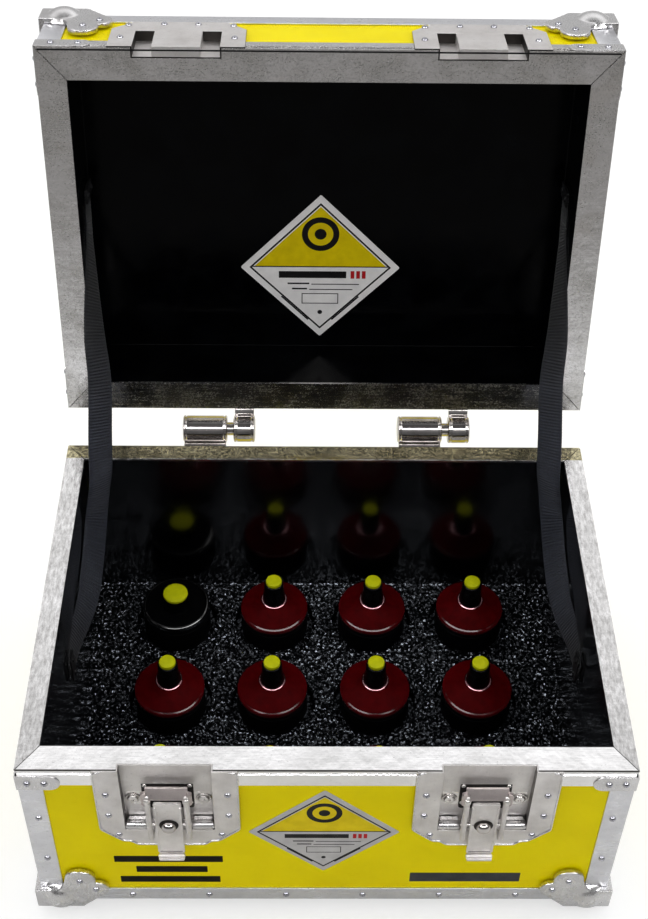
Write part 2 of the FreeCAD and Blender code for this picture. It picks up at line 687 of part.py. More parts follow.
def make_hinges():
    base_leaves, lid_leaves, pins = [], [], []
    base_screws, lid_screws = [], []
    for start in HINGE_STARTS:
        lid_start = start + BASE_KNUCKLE + KNUCKLE_GAP
        base_leaves.append(hinge_half(start, BASE_KNUCKLE, -1, BASE_LEAF_DROP, HINGE_PIN_R))
        lid_leaves.append(hinge_half(lid_start, LID_KNUCKLE, 1, LID_LEAF_RISE,
                                     HINGE_PIN_R + HINGE_PLAY))
        pin_length = BASE_KNUCKLE + KNUCKLE_GAP + LID_KNUCKLE - 2 * PIN_INSET
        pin_start = (start + PIN_INSET, HINGE_Y, HINGE_Z)
        pins.append(rod(HINGE_PIN_R, pin_length, pin_start, (1, 0, 0)))
        for dx in (BASE_SCREW_INSET, BASE_KNUCKLE - BASE_SCREW_INSET):
            for drop in BASE_SCREW_DROPS:
                point = (start + dx, REAR + LEAF_T, HINGE_Z - drop)
                base_screws.append(rivet(point, (0, 1, 0)))
        for rise in LID_SCREW_RISES:
            point = (lid_start + LID_KNUCKLE / 2, REAR + LEAF_T, HINGE_Z + rise)
            lid_screws.append(rivet(point, (0, 1, 0)))
    save("hinge_base_leaves", base_leaves)
    save("hinge_pins", pins)
    save("hinge_base_screws", base_screws)
    save("hinge_lid_leaves", lid_leaves, on_lid=True)
    save("hinge_lid_screws", lid_screws, on_lid=True)


# ---- side handles ----
def handle_plate(axis_x):
    """Plate let into the left side with two lugs outside it."""
    face = -HALF_W + SKIN
    plate_y = HANDLE_PLATE_HALF_W
    plate_z = HANDLE_PLATE_HALF_H
    back = face - HANDLE_PLATE_T
    pieces = [box(back, face, -plate_y, plate_y, HANDLE_Z - plate_z, HANDLE_Z + plate_z)]
    lug_in = HANDLE_HALF_W + HANDLE_LUG_GAP
    lug_out = lug_in + HANDLE_LUG_T
    for y in (-lug_out, lug_in):
        pieces.append(box(axis_x, back, y, y + HANDLE_LUG_T,
                          HANDLE_Z - HANDLE_LUG_R, HANDLE_Z + HANDLE_LUG_R))
        pieces.append(rod(HANDLE_LUG_R, HANDLE_LUG_T, (axis_x, y, HANDLE_Z), (0, 1, 0)))
    bore = rod(HANDLE_PIN_R + PIN_PLAY, 2 * lug_out, (axis_x, -lug_out, HANDLE_Z), (0, 1, 0))
    return fuse(pieces).cut(bore)


def drop_handle(axis_x):
    """Bar bent down at both ends, with a thicker grip and a pin into each lug."""
    low = HANDLE_Z - HANDLE_DROP
    grip_half = HANDLE_HALF_W - HANDLE_GRIP_SHORT
    pin_length = HANDLE_LUG_GAP + HANDLE_LUG_T
    pieces = [
        rod(HANDLE_BAR_R, 2 * HANDLE_HALF_W, (axis_x, -HANDLE_HALF_W, low), (0, 1, 0)),
        rod(HANDLE_GRIP_R, 2 * grip_half, (axis_x, -grip_half, low), (0, 1, 0)),
    ]
    for side in (-1, 1):
        y = side * HANDLE_HALF_W
        pieces.append(rod(HANDLE_BAR_R, HANDLE_DROP, (axis_x, y, low), (0, 0, 1)))
        pieces.append(Part.makeSphere(HANDLE_BAR_R, V(axis_x, y, low)))
        pieces.append(Part.makeSphere(HANDLE_BAR_R, V(axis_x, y, HANDLE_Z)))
        pieces.append(rod(HANDLE_PIN_R, pin_length, (axis_x, y, HANDLE_Z), (0, side, 0)))
    return fuse(pieces)


def make_handles():
    axis_x = -HALF_W - HANDLE_OUT
    save("handle_plates", both_sides(handle_plate(axis_x)))
    handle = drop_handle(axis_x)
    save("side_handle_left", [handle])
    save("side_handle_right", [mirrored_x(handle)])


# ---- foam and canisters ----
def canister_places():
    """Name and centre of each canister, rear row first, left to right."""
    columns = [(i - 1.5) * CANISTER_PITCH for i in range(4)]
    places = []
    for row, y in zip(("rear", "middle", "front"), CANISTER_ROWS):
        for column, x in enumerate(columns, start=1):
            places.append(("canister_%s_%d" % (row, column), x, y))
    return places


def upright(radius, z0, z1, x, y):
    return rod(radius, z1 - z0, (x, y, z0), (0, 0, 1))


def canister(x, y):
    """Pot, sloping shoulder, knob and tip, standing on one another."""
    bevel_r = POT_R - POT_BEVEL
    bevel_z = POT_TOP - POT_BEVEL
    pot = fuse([
        upright(POT_R, WELL_FLOOR, bevel_z, x, y),
        Part.makeCone(POT_R, bevel_r, POT_BEVEL, V(x, y, bevel_z)),
    ])
    shoulder = Part.makeCone(bevel_r, COLLAR_R, COLLAR_LOW - POT_TOP, V(x, y, POT_TOP))
    knob = fuse([
        upright(COLLAR_R, COLLAR_LOW, COLLAR_TOP, x, y),
        Part.makeCone(KNOB_R, STEM_R, KNOB_TOP - COLLAR_TOP, V(x, y, COLLAR_TOP)),
        upright(STEM_R, KNOB_TOP, TIP_LOW, x, y),
    ])
    tip = upright(TIP_R, TIP_LOW, TIP_TOP, x, y)
    return [pot, shoulder, knob, tip]


def plain_canister(x, y):
    """The odd one: a flat topped pot with a rim and a wide capped boss."""
    deck = ODD_TOP - ODD_RIM
    rim = upright(POT_R, deck, ODD_TOP, x, y).cut(upright(POT_R - ODD_RIM, deck, ODD_TOP, x, y))
    pot = fuse([upright(POT_R, WELL_FLOOR, deck, x, y), rim])
    boss = upright(ODD_BOSS_R, deck, ODD_BOSS_TOP, x, y)
    cap = upright(ODD_BOSS_R, ODD_BOSS_TOP, ODD_CAP_TOP, x, y)
    return [pot, boss, cap]


def make_contents():
    floor = SKIN + FLOOR_T + LINER_T
    foam = box(-BASE_IN_X, BASE_IN_X, BASE_IN_FRONT, BASE_IN_REAR, floor, FOAM_TOP)
    wells = []
    for name, x, y in canister_places():
        wells.append(upright(POT_R + WELL_PLAY, WELL_FLOOR, FOAM_TOP, x, y))
    save("foam_insert", [foam.cut(Part.makeCompound(wells))])
    for name, x, y in canister_places():
        solids = plain_canister(x, y) if name == "canister_rear_1" else canister(x, y)
        save(name, solids)


# ---- labels and markings ----
def diamond(x, across, half):
    return [(x - half, across), (x, across - half), (x + half, across), (x, across + half)]


def make_labels():
    face = FRONT + SKIN
    save("base_label", [prism("y", face - LABEL_T, face, diamond(*FRONT_LABEL))])

    bars = []
    for half_w, mid_x, z in CAUTION_BARS:
        bars.append(box(mid_x - half_w, mid_x + half_w, face - LABEL_T, face,
                        z - BAR_HALF_H, z + BAR_HALF_H))
    x0, x1, z0, z1 = GREY_BAR
    bars.append(box(x0, x1, face - LABEL_T, face, z0, z1))
    save("base_markings", bars)

    roof = CASE_H - SKIN - FLOOR_T - LINER_T
    save("lid_label", [prism("z", roof - LABEL_T, roof, diamond(*LID_LABEL))], on_lid=True)


# ---- straps ----
def strap_and_anchor(wall, front, low):
    """Webbing along the left wall and the plate that holds its front end."""
    high = low + STRAP_W
    strap = box(wall, wall + STRAP_T, front, STRAP_REAR, low, high)
    start = front + ANCHOR_SET_BACK
    anchor = box(wall + STRAP_T, wall + STRAP_T + ANCHOR_T, start, start + ANCHOR_LENGTH,
                 low - ANCHOR_OVERLAP, high + ANCHOR_OVERLAP)
    return strap, anchor


def make_straps():
    strap, anchor = strap_and_anchor(-BASE_IN_X + STRAP_WALL_GAP, BASE_STRAP_FRONT, BASE_STRAP_LOW)
    save("base_strap_ends", both_sides(strap))
    save("base_strap_anchors", both_sides(anchor))
    strap, anchor = strap_and_anchor(-LID_IN_X + STRAP_WALL_GAP, LID_STRAP_FRONT, LID_STRAP_LOW)
    save("lid_strap_ends", both_sides(strap), on_lid=True)
    save("lid_strap_anchors", both_sides(anchor), on_lid=True)


make_panels()
make_liners()
make_rims()
make_trim()
make_rivets()
make_dishes()
make_latches()
make_hinges()
make_handles()
make_contents()
make_labels()
make_straps()
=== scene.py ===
import json
import math

import bmesh
import bpy
from mathutils import Matrix, Vector, noise


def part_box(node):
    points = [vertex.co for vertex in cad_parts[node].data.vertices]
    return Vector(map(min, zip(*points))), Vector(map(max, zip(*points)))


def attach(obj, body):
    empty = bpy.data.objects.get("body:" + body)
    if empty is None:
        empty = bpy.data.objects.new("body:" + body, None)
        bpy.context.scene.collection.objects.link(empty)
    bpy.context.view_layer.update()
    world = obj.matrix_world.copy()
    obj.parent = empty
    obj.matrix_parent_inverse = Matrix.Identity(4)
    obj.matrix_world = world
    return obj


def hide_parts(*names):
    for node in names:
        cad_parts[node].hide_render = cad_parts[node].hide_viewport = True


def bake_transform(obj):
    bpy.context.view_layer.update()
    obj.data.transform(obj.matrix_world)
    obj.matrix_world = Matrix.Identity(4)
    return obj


# Looks of an open hard transport case with twelve canisters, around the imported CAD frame.
# Shapes are drawn in millimetres in the row frame: X right, Y to the rear, Z up.
# Lid shapes are drawn with the lid shut and then swung open about the hinge.

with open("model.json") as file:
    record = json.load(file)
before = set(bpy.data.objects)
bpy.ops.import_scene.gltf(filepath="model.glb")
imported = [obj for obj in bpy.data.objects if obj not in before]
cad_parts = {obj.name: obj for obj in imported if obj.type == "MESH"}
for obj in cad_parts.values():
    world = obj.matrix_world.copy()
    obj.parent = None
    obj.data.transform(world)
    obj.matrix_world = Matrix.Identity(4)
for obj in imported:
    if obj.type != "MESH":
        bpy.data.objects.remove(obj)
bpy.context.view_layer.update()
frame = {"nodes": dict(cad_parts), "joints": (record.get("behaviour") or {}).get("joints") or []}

MM = 0.001
WELD = 1e-6                     # points this close are one
SHARP = math.radians(38)        # edges that turn more than this are softened
RIGHT = Vector((1, 0, 0))
BACK = Vector((0, 1, 0))
UP = Vector((0, 0, 1))
JOINTS = {joint["name"]: joint for joint in frame["joints"]}


def joint_point(name):
    """Point of a joint in millimetres."""
    return Vector(JOINTS[name]["pos_m"]) / MM


HINGE = joint_point("lid_hinge")
LID_OPEN = math.radians(JOINTS["lid_hinge"]["range_deg"][1])
LID_SWING = (
    Matrix.Translation(HINGE) @ Matrix.Rotation(-LID_OPEN, 4, "X") @ Matrix.Translation(-HINGE)
)
LID_SHUT = LID_SWING.inverted()


# ---- reading the CAD, always with the lid shut ----
def on_lid(node):
    return node.startswith(("lid_", "hinge_lid_"))


def welded(node):
    """Mesh of a CAD node in millimetres, its solids welded shut."""
    bm = bmesh.new()
    bm.from_mesh(frame["nodes"][node].data)
    bmesh.ops.remove_doubles(bm, verts=bm.verts, dist=WELD)
    bm.transform(Matrix.Scale(1 / MM, 4))
    if on_lid(node):
        bm.transform(LID_SHUT)
    return bm


def islands(node):
    """Solids of a CAD node, each a list of points."""
    bm = welded(node)
    seen = set()
    groups = []
    for first in bm.verts:
        if first in seen:
            continue
        seen.add(first)
        stack = [first]
        group = []
        while stack:
            vert = stack.pop()
            group.append(vert.co.copy())
            for edge in vert.link_edges:
                other = edge.other_vert(vert)
                if other not in seen:
                    seen.add(other)
                    stack.append(other)
        groups.append(group)
    bm.free()
    return groups


def limits(points):
    low = Vector([min(p[i] for p in points) for i in range(3)])
    high = Vector([max(p[i] for p in points) for i in range(3)])
    return low, high


def span(node):
    """Lowest and highest corner of a CAD node."""
    if on_lid(node):
        return limits([LID_SHUT @ (v.co / MM) for v in frame["nodes"][node].data.vertices])
    low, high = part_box(node)
    return low / MM, high / MM


def boxes(node):
    """Lowest and highest corner of each solid of a CAD node."""
    return [limits(points) for points in islands(node)]


def box_at(node, x):
    """The box of the solid that is centred nearest to x."""
    return min(boxes(node), key=lambda box: abs(box[0].x + box[1].x - 2 * x))


BASE_LOW = span("base_bottom_angles")[0]
BASE_HIGH = span("base_rim_frame")[1]
LID_HIGH = span("lid_corner_angles")[1]
REAR = BASE_HIGH.y
CANISTERS = sorted(node for node in frame["nodes"] if node.startswith("canister_"))


# ---- mesh helpers ----
def axes(u, v, w, origin=(0, 0, 0)):
    """Frame at origin with its axes along u, v and w."""
    return Matrix.Translation(origin) @ Matrix((u, v, w)).transposed().to_4x4()


def front_plane(y, x=0, z=0):
    """Frame with u to the right, v up and w out towards the front."""
    return axes(RIGHT, UP, -BACK, (x, y, z))


def facing(point, direction):
    """Frame with its w axis along direction."""
    turn = Vector(direction).to_track_quat("Z", "Y").to_matrix().to_4x4()
    return Matrix.Translation(point) @ turn


def circle(count, radius=1.0):
    angles = [2 * math.pi * i / count for i in range(count)]
    return [(radius * math.cos(angle), radius * math.sin(angle)) for angle in angles]


def join_rings(bm, rings, slot=0):
    """Faces from each ring of points to the next; a ring of one point is a tip."""
    for low, high in zip(rings, rings[1:]):
        count = max(len(low), len(high))
        for i in range(count):
            j = (i + 1) % count
            corners = [ring[k % len(ring)] for ring, k in ((low, i), (low, j), (high, j), (high, i))]
            bm.faces.new(list(dict.fromkeys(corners))).material_index = slot


def lathe(bm, profile, place, segments=32, slot=0):
    """Turns a profile of (radius, height) points about the w axis of place."""
    rings = []
    for radius, height in profile:
        points = circle(segments, radius) if radius > WELD else [(0, 0)]
        rings.append([bm.verts.new(place @ Vector((u, v, height))) for u, v in points])
    join_rings(bm, rings, slot)


def plate(bm, outline, place, depth, slot=0):
    """Outline of (u, v) points extruded from w = 0 to depth, in the frame of place."""
    rings = []
    for w in (0, depth):
        rings.append([bm.verts.new(place @ Vector((u, v, w))) for u, v in outline])
    for ring in rings:
        bm.faces.new(ring).material_index = slot
    join_rings(bm, rings, slot)


def ring_plate(bm, outer, inner, place, depth, slot=0):
    """Flat frame between two outlines with the same number of points."""
    rings = []
    for outline, w in ((outer, 0), (outer, depth), (inner, depth), (inner, 0)):
        rings.append([bm.verts.new(place @ Vector((u, v, w))) for u, v in outline])
    join_rings(bm, rings + rings[:1], slot)


def rectangle(u0, u1, v0, v1):
    return [(u0, v0), (u1, v0), (u1, v1), (u0, v1)]


def rounded(outline, radius, steps=5):
    """The polygon with each corner replaced by a short curve."""
    points = []
    count = len(outline)
    for i in range(count):
        corner = Vector(outline[i])
        before = Vector(outline[i - 1]) - corner
        after = Vector(outline[(i + 1) % count]) - corner
        turn = before.angle(after)
        cut = min(radius / math.tan(turn / 2), before.length * 0.48, after.length * 0.48)
        start = corner + before.normalized() * cut
        end = corner + after.normalized() * cut
        for k in range(steps + 1):
            t = k / steps
            points.append(start * (1 - t) ** 2 + corner * 2 * t * (1 - t) + end * t ** 2)
    return points


def slab(bm, u0, u1, v0, v1, radius, place, depth, slot=0):
    """Rectangle with rounded corners, extruded like a plate."""
    plate(bm, rounded(rectangle(u0, u1, v0, v1), radius), place, depth, slot)


def heading(points, i):
    """Direction of a line of points at its point i."""
    before = points[max(i - 1, 0)]
    after = points[min(i + 1, len(points) - 1)]
    return (after - before).normalized()


def tube(bm, path, radius, segments=16, slot=0):
    """Round bar along a list of points, with domed ends."""
    points = [Vector(p) for p in path]
    shares = [1.0] * len(points)
    first = heading(points, 0)
    last = heading(points, len(points) - 1)
    ends = points[0], points[-1]
    for share in (0.86, 0.5, 0.0):
        reach = radius * math.sqrt(1 - share * share) * 0.7
        points = [ends[0] - first * reach] + points + [ends[1] + last * reach]
        shares = [share] + shares + [share]
    side = first.orthogonal().normalized()
    rings = []
    for i, (centre, share) in enumerate(zip(points, shares)):
        tangent = heading(points, i)
        side = (side - tangent * side.dot(tangent)).normalized()
        up = tangent.cross(side)
        ring = circle(segments, radius * share) if share else [(0, 0)]
        rings.append([bm.verts.new(centre + side * u + up * v) for u, v in ring])
    join_rings(bm, rings, slot)


def piece(name, bm, materials, body, nodes, bevel=0.0, ride=True):
    """Turns a drawing in millimetres into an object that rides on a CAD body."""
    if body == "lid":
        bm.transform(LID_SWING)
    bm.transform(Matrix.Scale(MM, 4))
    bmesh.ops.recalc_face_normals(bm, faces=bm.faces)
    mesh = bpy.data.meshes.new(name)
    bm.to_mesh(mesh)
    bm.free()
    for material in materials:
        mesh.materials.append(material)
    mesh.polygons.foreach_set("use_smooth", [True] * len(mesh.polygons))
    mesh.set_sharp_from_angle(angle=SHARP)
    obj = bpy.data.objects.new(name, mesh)
    bpy.context.scene.collection.objects.link(obj)
    if bevel:
        soften_edges(obj, bevel)
    if ride:
        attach(obj, body)
    if nodes:
        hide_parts(*nodes)
    return obj


def modify(obj, kind, **settings):
    modifier = obj.modifiers.new(kind.lower(), kind)
    for key, value in settings.items():
        setattr(modifier, key, value)


def soften_edges(obj, width):
    modify(obj, "BEVEL", width=width * MM, segments=3, limit_method="ANGLE", angle_limit=SHARP,
           harden_normals=True, use_clamp_overlap=True)


def keep_cad(node, material, bevel):
    """A CAD node that stays, with welded and softened edges and a detailed material."""
    obj = frame["nodes"][node]
    modify(obj, "WELD", merge_threshold=WELD)
    modify(obj, "DECIMATE", decimate_type="DISSOLVE", angle_limit=math.radians(1))
    soften_edges(obj, bevel)
    obj.data.materials.clear()
    obj.data.materials.append(material)
    for polygon in obj.data.polygons:
        polygon.material_index = 0


# ---- material helpers; most find their node tree from the socket they are given ----
def add(tree, kind, inputs=None, **settings):
    """A shader node with its settings; an input is a value or a socket to link."""
    made = tree.nodes.new(kind)
    for key, value in settings.items():
        setattr(made, key, value)
    for key, value in (inputs or {}).items():
        if isinstance(value, bpy.types.NodeSocket):
            tree.links.new(value, made.inputs[key])
        else:
            made.inputs[key].default_value = value
    return made


def place_mm(tree, stretch=(1, 1, 1)):
    """Object coordinates in millimetres, stretched for grain."""
    coords = add(tree, "ShaderNodeTexCoord")
    scaled = add(tree, "ShaderNodeVectorMath", {0: coords.outputs["Object"]}, operation="MULTIPLY")
    scaled.inputs[1].default_value = [s / MM for s in stretch]
    return scaled.outputs[0]


def split(where):
    return add(where.id_data, "ShaderNodeSeparateXYZ", {0: where}).outputs


def speckle(where, scale, detail=3.0, roughness=0.55):
    """Noise in 0..1; scale is in cells per millimetre."""
    inputs = {"Vector": where, "Scale": scale, "Detail": detail, "Roughness": roughness}
    return add(where.id_data, "ShaderNodeTexNoise", inputs).outputs[0]


def remap(value, from_low, from_high, to_low=0, to_high=1):
    inputs = {0: value, 1: from_low, 2: from_high, 3: to_low, 4: to_high}
    return add(value.id_data, "ShaderNodeMapRange", inputs).outputs[0]


def maths(operation, a, b):
    return add(a.id_data, "ShaderNodeMath", {0: a, 1: b}, operation=operation).outputs[0]


def product(value, *factors):
    for factor in factors:
        value = maths("MULTIPLY", value, factor)
    return value


def blend(share, a, b):
    """Colour a where share is 0, b where it is 1."""
    inputs = {0: share, 6: a, 7: b}
    return add(share.id_data, "ShaderNodeMix", inputs, data_type="RGBA").outputs[2]


def tint(under, over, mask, low, high, amount=1):
    """Lays a colour over another by up to amount, where a mask rises from low to high."""
    return blend(remap(mask, low, high, 0, amount), under, over)


def bump(height, depth, strength, normal=None):
    """Bump whose height is in 0..1 and depth in millimetres."""
    inputs = {"Height": height, "Distance": depth * MM, "Strength": strength}
    if normal is not None:
        inputs["Normal"] = normal
    return add(height.id_data, "ShaderNodeBump", inputs).outputs[0]


def start(name, **values):
    """New material with its shader's plain values set."""
    material = bpy.data.materials.new(name)
    material.use_nodes = True
    tree = material.node_tree
    for key, value in values.items():
        tree.nodes["Principled BSDF"].inputs[key.replace("_", " ")].default_value = value
    return material, tree


def connect(tree, **sockets):
    """Links finished sockets to the shader's inputs, such as Base_Color."""
    for key, socket in sockets.items():
        tree.links.new(socket, tree.nodes["Principled BSDF"].inputs[key.replace("_", " ")])


def rgb(red, green, blue):
    """Linear colour from screen values in 0..255."""
    out = []
    for value in (red, green, blue):
        share = value / 255
        out.append(share / 12.92 if share <= 0.04045 else ((share + 0.055) / 1.055) ** 2.4)
    return (*out, 1.0)


def scaled(colour, factor, lift=0.0):
    """The colour made darker or lighter."""
    return tuple(min(1.0, factor * value + lift) for value in colour[:3]) + (1,)


# ---- materials ----
def yellow_board():
    """Yellow laminate: faint clouding, rubbed specks and a fine orange peel."""
    material, tree = start("yellow_laminate", Specular_IOR_Level=0.03)
    where = place_mm(tree)
    cloud = speckle(where, 0.02, 4.0)
    fine = speckle(where, 1.6, 2.0)
    rubs = speckle(place_mm(tree, (0.25, 0.25, 2.2)), 0.22, 5.0, 0.7)
    colour = tint(rgb(244, 226, 0), rgb(236, 217, 0), cloud, 0.35, 0.7)
    colour = tint(colour, rgb(176, 158, 0), rubs, 0.66, 0.8, 0.35)
    rough = remap(rubs, 0.4, 0.75, 0.34, 0.58)
    connect(tree, Base_Color=colour, Roughness=rough, Normal=bump(fine, 0.03, 0.6))
    return material


def worn_metal(name, light, dark, rough, grain, grain_depth, dents=0.0, stain=0.0, wear=0.0):
    """Bare metal with directional grain, scratches, clouded polish and small dings."""
    material, tree = start(name, Metallic=1.0)
    where = place_mm(tree)
    cloud = speckle(where, 0.035, 5.0, 0.6)
    lines = speckle(place_mm(tree, grain), 0.9, 4.0, 0.65)
    nicks = speckle(where, 0.55, 3.0, 0.7)
    colour = tint(rgb(*light), rgb(*dark), cloud, 0.3, 0.72)
    colour = tint(colour, scaled(rgb(*dark), 0.45), nicks, 0.63, 0.72, 0.55)
    polish = maths("ADD", remap(cloud, 0.3, 0.7, *rough),
                   remap(lines, 0.3, 0.7, -0.06, 0.08))
    if stain:
        patch = speckle(where, 0.012, 2.0)
        colour = tint(colour, rgb(150, 128, 84), patch, 0.55, 0.75, stain)
    if wear:
        marks = remap(speckle(where, 0.6, 6.0, 0.8), 0.47, 0.62, 0, wear)
        colour = blend(marks, colour, rgb(96, 94, 90))
        polish = maths("ADD", polish, product(marks, 0.4))
    normal = bump(nicks, 0.05, 0.5, bump(lines, grain_depth, 0.8))
    if dents:
        normal = bump(speckle(where, 0.09, 2.0), dents, 0.6, normal)
    connect(tree, Base_Color=colour, Roughness=polish, Normal=normal)
    return material


def base_rim_metal():
    """Rim bars: bright in front, scuffed at the sides, painted shade on the rear bar's top and a
    painted shade line along the front edge.
    """
    material = worn_metal("base_rim_aluminium", (252, 251, 252), (230, 229, 229), (0.1, 0.22),
                          (0.05, 1.0, 1.0), 0.05, 0.5)
    tree = material.node_tree
    where = place_mm(tree)
    across, depth, height = split(where)
    low, high = span("base_rim_frame")
    colour = tree.nodes["Principled BSDF"].inputs["Base Color"].links[0].from_socket
    # The side bars start where the mitre line crosses, a little over 3 in 4.
    mitre = maths("ADD", maths("ABSOLUTE", across, 0), product(depth, 0.767))
    side = remap(mitre, high.x - 131.9, high.x - 131.4)
    brushed = speckle(place_mm(tree, (1.0, 0.3, 1.0)), 0.4, 6.0, 0.75)
    marks = product(side, remap(brushed, 0.38, 0.64, 0.25, 0.72))
    colour = blend(marks, colour, rgb(120, 118, 116))
    # Painted shade: the rear bar's top is coloured a spotty dark brownish grey for the darkness it
    # shows in this light.
    spots = speckle(where, 0.4, 5.0, 0.8)
    rear_painted_shade = tint(rgb(196, 188, 154), rgb(112, 106, 86), spots, 0.42, 0.58)
    rear = remap(depth, high.y - 16.4, high.y - 15.9)
    top = remap(height, high.z - 1.1, high.z - 0.8)
    colour = blend(product(rear, top), colour, rear_painted_shade)
    # Painted shade: a thin dark line along the front top edge, in place of the edge's highlight.
    edge = remap(depth, low.y + 1.2, low.y + 0.9)
    colour = blend(product(edge, top), colour, rgb(70, 68, 66))
    connect(tree, Base_Color=colour)
    return material


def gloss_lining(name, ior, coat, rough):
    """Near black gloss sheet, slightly wavy, with dull smudges and dust."""
    material, tree = start(name, IOR=ior, Coat_Weight=coat, Coat_Roughness=0.03)
    where = place_mm(tree)
    smudge = speckle(where, 0.03, 4.0, 0.6)
    dust = speckle(where, 1.3, 2.0, 0.6)
    colour = tint(rgb(1, 1, 2), rgb(4, 5, 7), smudge, 0.4, 0.75)
    colour = tint(colour, rgb(60, 62, 70), dust, 0.75, 0.82, 0.3)
    wave = bump(speckle(where, 0.018, 2.0), 0.5, 0.5)
    connect(tree, Base_Color=colour, Roughness=remap(smudge, 0.35, 0.75, *rough), Normal=wave)
    return material


def pebbled_insert():
    """Black sheet that glints in spots; the larger pebbles are in the mesh."""
    material, tree = start("pebbled_black", IOR=1.9, Specular_Tint=(0.82, 0.88, 1.0, 1.0))
    where = place_mm(tree)
    grain = speckle(where, 1.1, 3.0, 0.6)
    glint = speckle(where, 0.42, 2.0, 0.5)
    pebble = speckle(where, 0.62, 2.0, 0.5)
    connect(tree, Base_Color=tint(rgb(1, 1, 2), rgb(5, 5, 7), grain, 0.35, 0.7),
            Roughness=remap(glint, 0.35, 0.65, 0.06, 0.2),
            Specular_IOR_Level=remap(glint, 0.52, 0.58, 0.02, 1.0),
            Normal=bump(pebble, 0.9, 1.0))
    return material


def moulded(name, light, dark, rough, peel=0.02, gloss=0.5):
    """Painted or moulded part: cloudy colour, faint scuffs, fine surface peel."""
    material, tree = start(name, Specular_IOR_Level=gloss)
    where = place_mm(tree)
    cloud = speckle(where, 0.12, 4.0, 0.6)
    scuff = speckle(place_mm(tree, (1, 3, 1)), 0.5, 4.0, 0.7)
    fine = speckle(where, 2.2, 2.0)
    colour = tint(rgb(*light), rgb(*dark), cloud, 0.3, 0.7)
    colour = tint(colour, scaled(rgb(*light), 1.7, 0.01), scuff, 0.64, 0.78, 0.3)
    connect(tree, Base_Color=colour, Roughness=remap(scuff, 0.35, 0.7, *rough),
            Normal=bump(fine, peel, 0.5))
    return material


def print_ink(name, light, dark, rough=0.5):
    """Printed film: flat ink with pinholes and a slightly uneven gloss."""
    material, tree = start(name, Specular_IOR_Level=0.12)
    where = place_mm(tree)
    cloud = speckle(where, 0.08, 3.0)
    holes = speckle(where, 2.4, 3.0, 0.7)
    colour = tint(rgb(*light), rgb(*dark), cloud, 0.3, 0.7)
    colour = tint(colour, scaled(rgb(*dark), 0.6, 0.05), holes, 0.66, 0.74, 0.6)
    rough = remap(cloud, 0.3, 0.7, rough - 0.08, rough + 0.08)
    connect(tree, Base_Color=colour, Roughness=rough, Normal=bump(holes, 0.02, 0.5))
    return material


def webbing():
    """Navy woven strap: crossing threads over the ribs of the mesh, with painted shade darkening both
    ends.
    """
    material, tree = start("strap_weave", Roughness=0.72, Sheen_Weight=0.15, Sheen_Roughness=0.4)
    where = place_mm(tree)
    threads = speckle(place_mm(tree, (1.0, 1.0, 0.35)), 1.5, 2.0, 0.5)
    fuzz = speckle(where, 4.0, 2.0, 0.7)
    fade = speckle(where, 0.05, 3.0)
    colour = tint(rgb(8, 10, 17), rgb(34, 39, 54), threads, 0.35, 0.68)
    colour = tint(colour, rgb(50, 54, 66), fade, 0.5, 0.75, 0.4)
    # Painted shade: near black high up in the lid and towards the base end, where the strap lies in
    # shade.
    _, depth, height = split(where)
    painted_shade_ends = maths("MAXIMUM", remap(height, 245, 320, 0, 0.88),
                   remap(depth, 45, -15, 0, 0.85))
    colour = blend(painted_shade_ends, colour, rgb(8, 9, 13))
    connect(tree, Base_Color=colour,
            Normal=bump(fuzz, 0.08, 0.5, bump(threads, 0.3, 0.8)))
    return material


def pale_floor():
    """White to the camera; darker, and darker still further forward, in reflections."""
    material, tree = start("studio_floor", Roughness=0.8, Specular_IOR_Level=0.1,
                           Emission_Color=(1, 1, 1, 1))
    cloud = speckle(place_mm(tree), 0.004, 2.0)
    seen = blend(cloud, (0.46, 0.46, 0.46, 1), (0.49, 0.49, 0.49, 1))
    depth = split(add(tree, "ShaderNodeTexCoord").outputs["Object"])[1]
    near = remap(depth, -1.1, -0.35)
    mirrored = blend(near, (0.27, 0.262, 0.255, 1), (0.78, 0.78, 0.78, 1))
    by_camera = add(tree, "ShaderNodeLightPath").outputs["Is Camera Ray"]
    connect(tree, Base_Color=blend(by_camera, mirrored, seen),
            Emission_Strength=product(by_camera, 0.6))
    return material


EVEN = (1.0, 1.0, 1.0)          # no stretch in the grain
DISH_GRAIN = (1.0, 1.0, 0.12)
LATCH_GRAIN = (0.5, 1.0, 0.2)
YELLOW = yellow_board()
TRIM = worn_metal("satin_aluminium", (232, 232, 236), (206, 206, 210), (0.24, 0.38),
                  (0.06, 1.0, 1.0), 0.025, 0.12)
RIM = worn_metal("rim_aluminium", (240, 239, 240), (206, 204, 202), (0.1, 0.24),
                 (0.05, 1.0, 1.0), 0.03, 0.5, 0.4, 0.3)
BASE_RIM = base_rim_metal()
DISH = worn_metal("dish_steel", (232, 229, 228), (204, 200, 198), (0.4, 0.55),
                  DISH_GRAIN, 0.03, 0.12)
# Painted shade: a darker copy of the dish steel for the dishes' side walls.
DISH_SIDE_PAINTED_SHADE = worn_metal("dish_side_steel", (128, 123, 121), (90, 86, 84), (0.4, 0.55),
                       DISH_GRAIN, 0.03, 0.12)
PLATED = worn_metal("plated_steel", (226, 225, 226), (194, 192, 192), (0.2, 0.36),
                    (1.0, 1.0, 0.5), 0.02, 0.2)
RIVET = worn_metal("rivet_steel", (196, 196, 202), (150, 150, 158), (0.12, 0.24), EVEN, 0.02)
LATCH = worn_metal("latch_steel", (230, 227, 224), (204, 200, 198), (0.2, 0.34),
                   LATCH_GRAIN, 0.012, 0.03)
BLOCK = worn_metal("latch_block_steel", (206, 196, 194), (172, 163, 161), (0.35, 0.5),
                   LATCH_GRAIN, 0.02, 0.05)
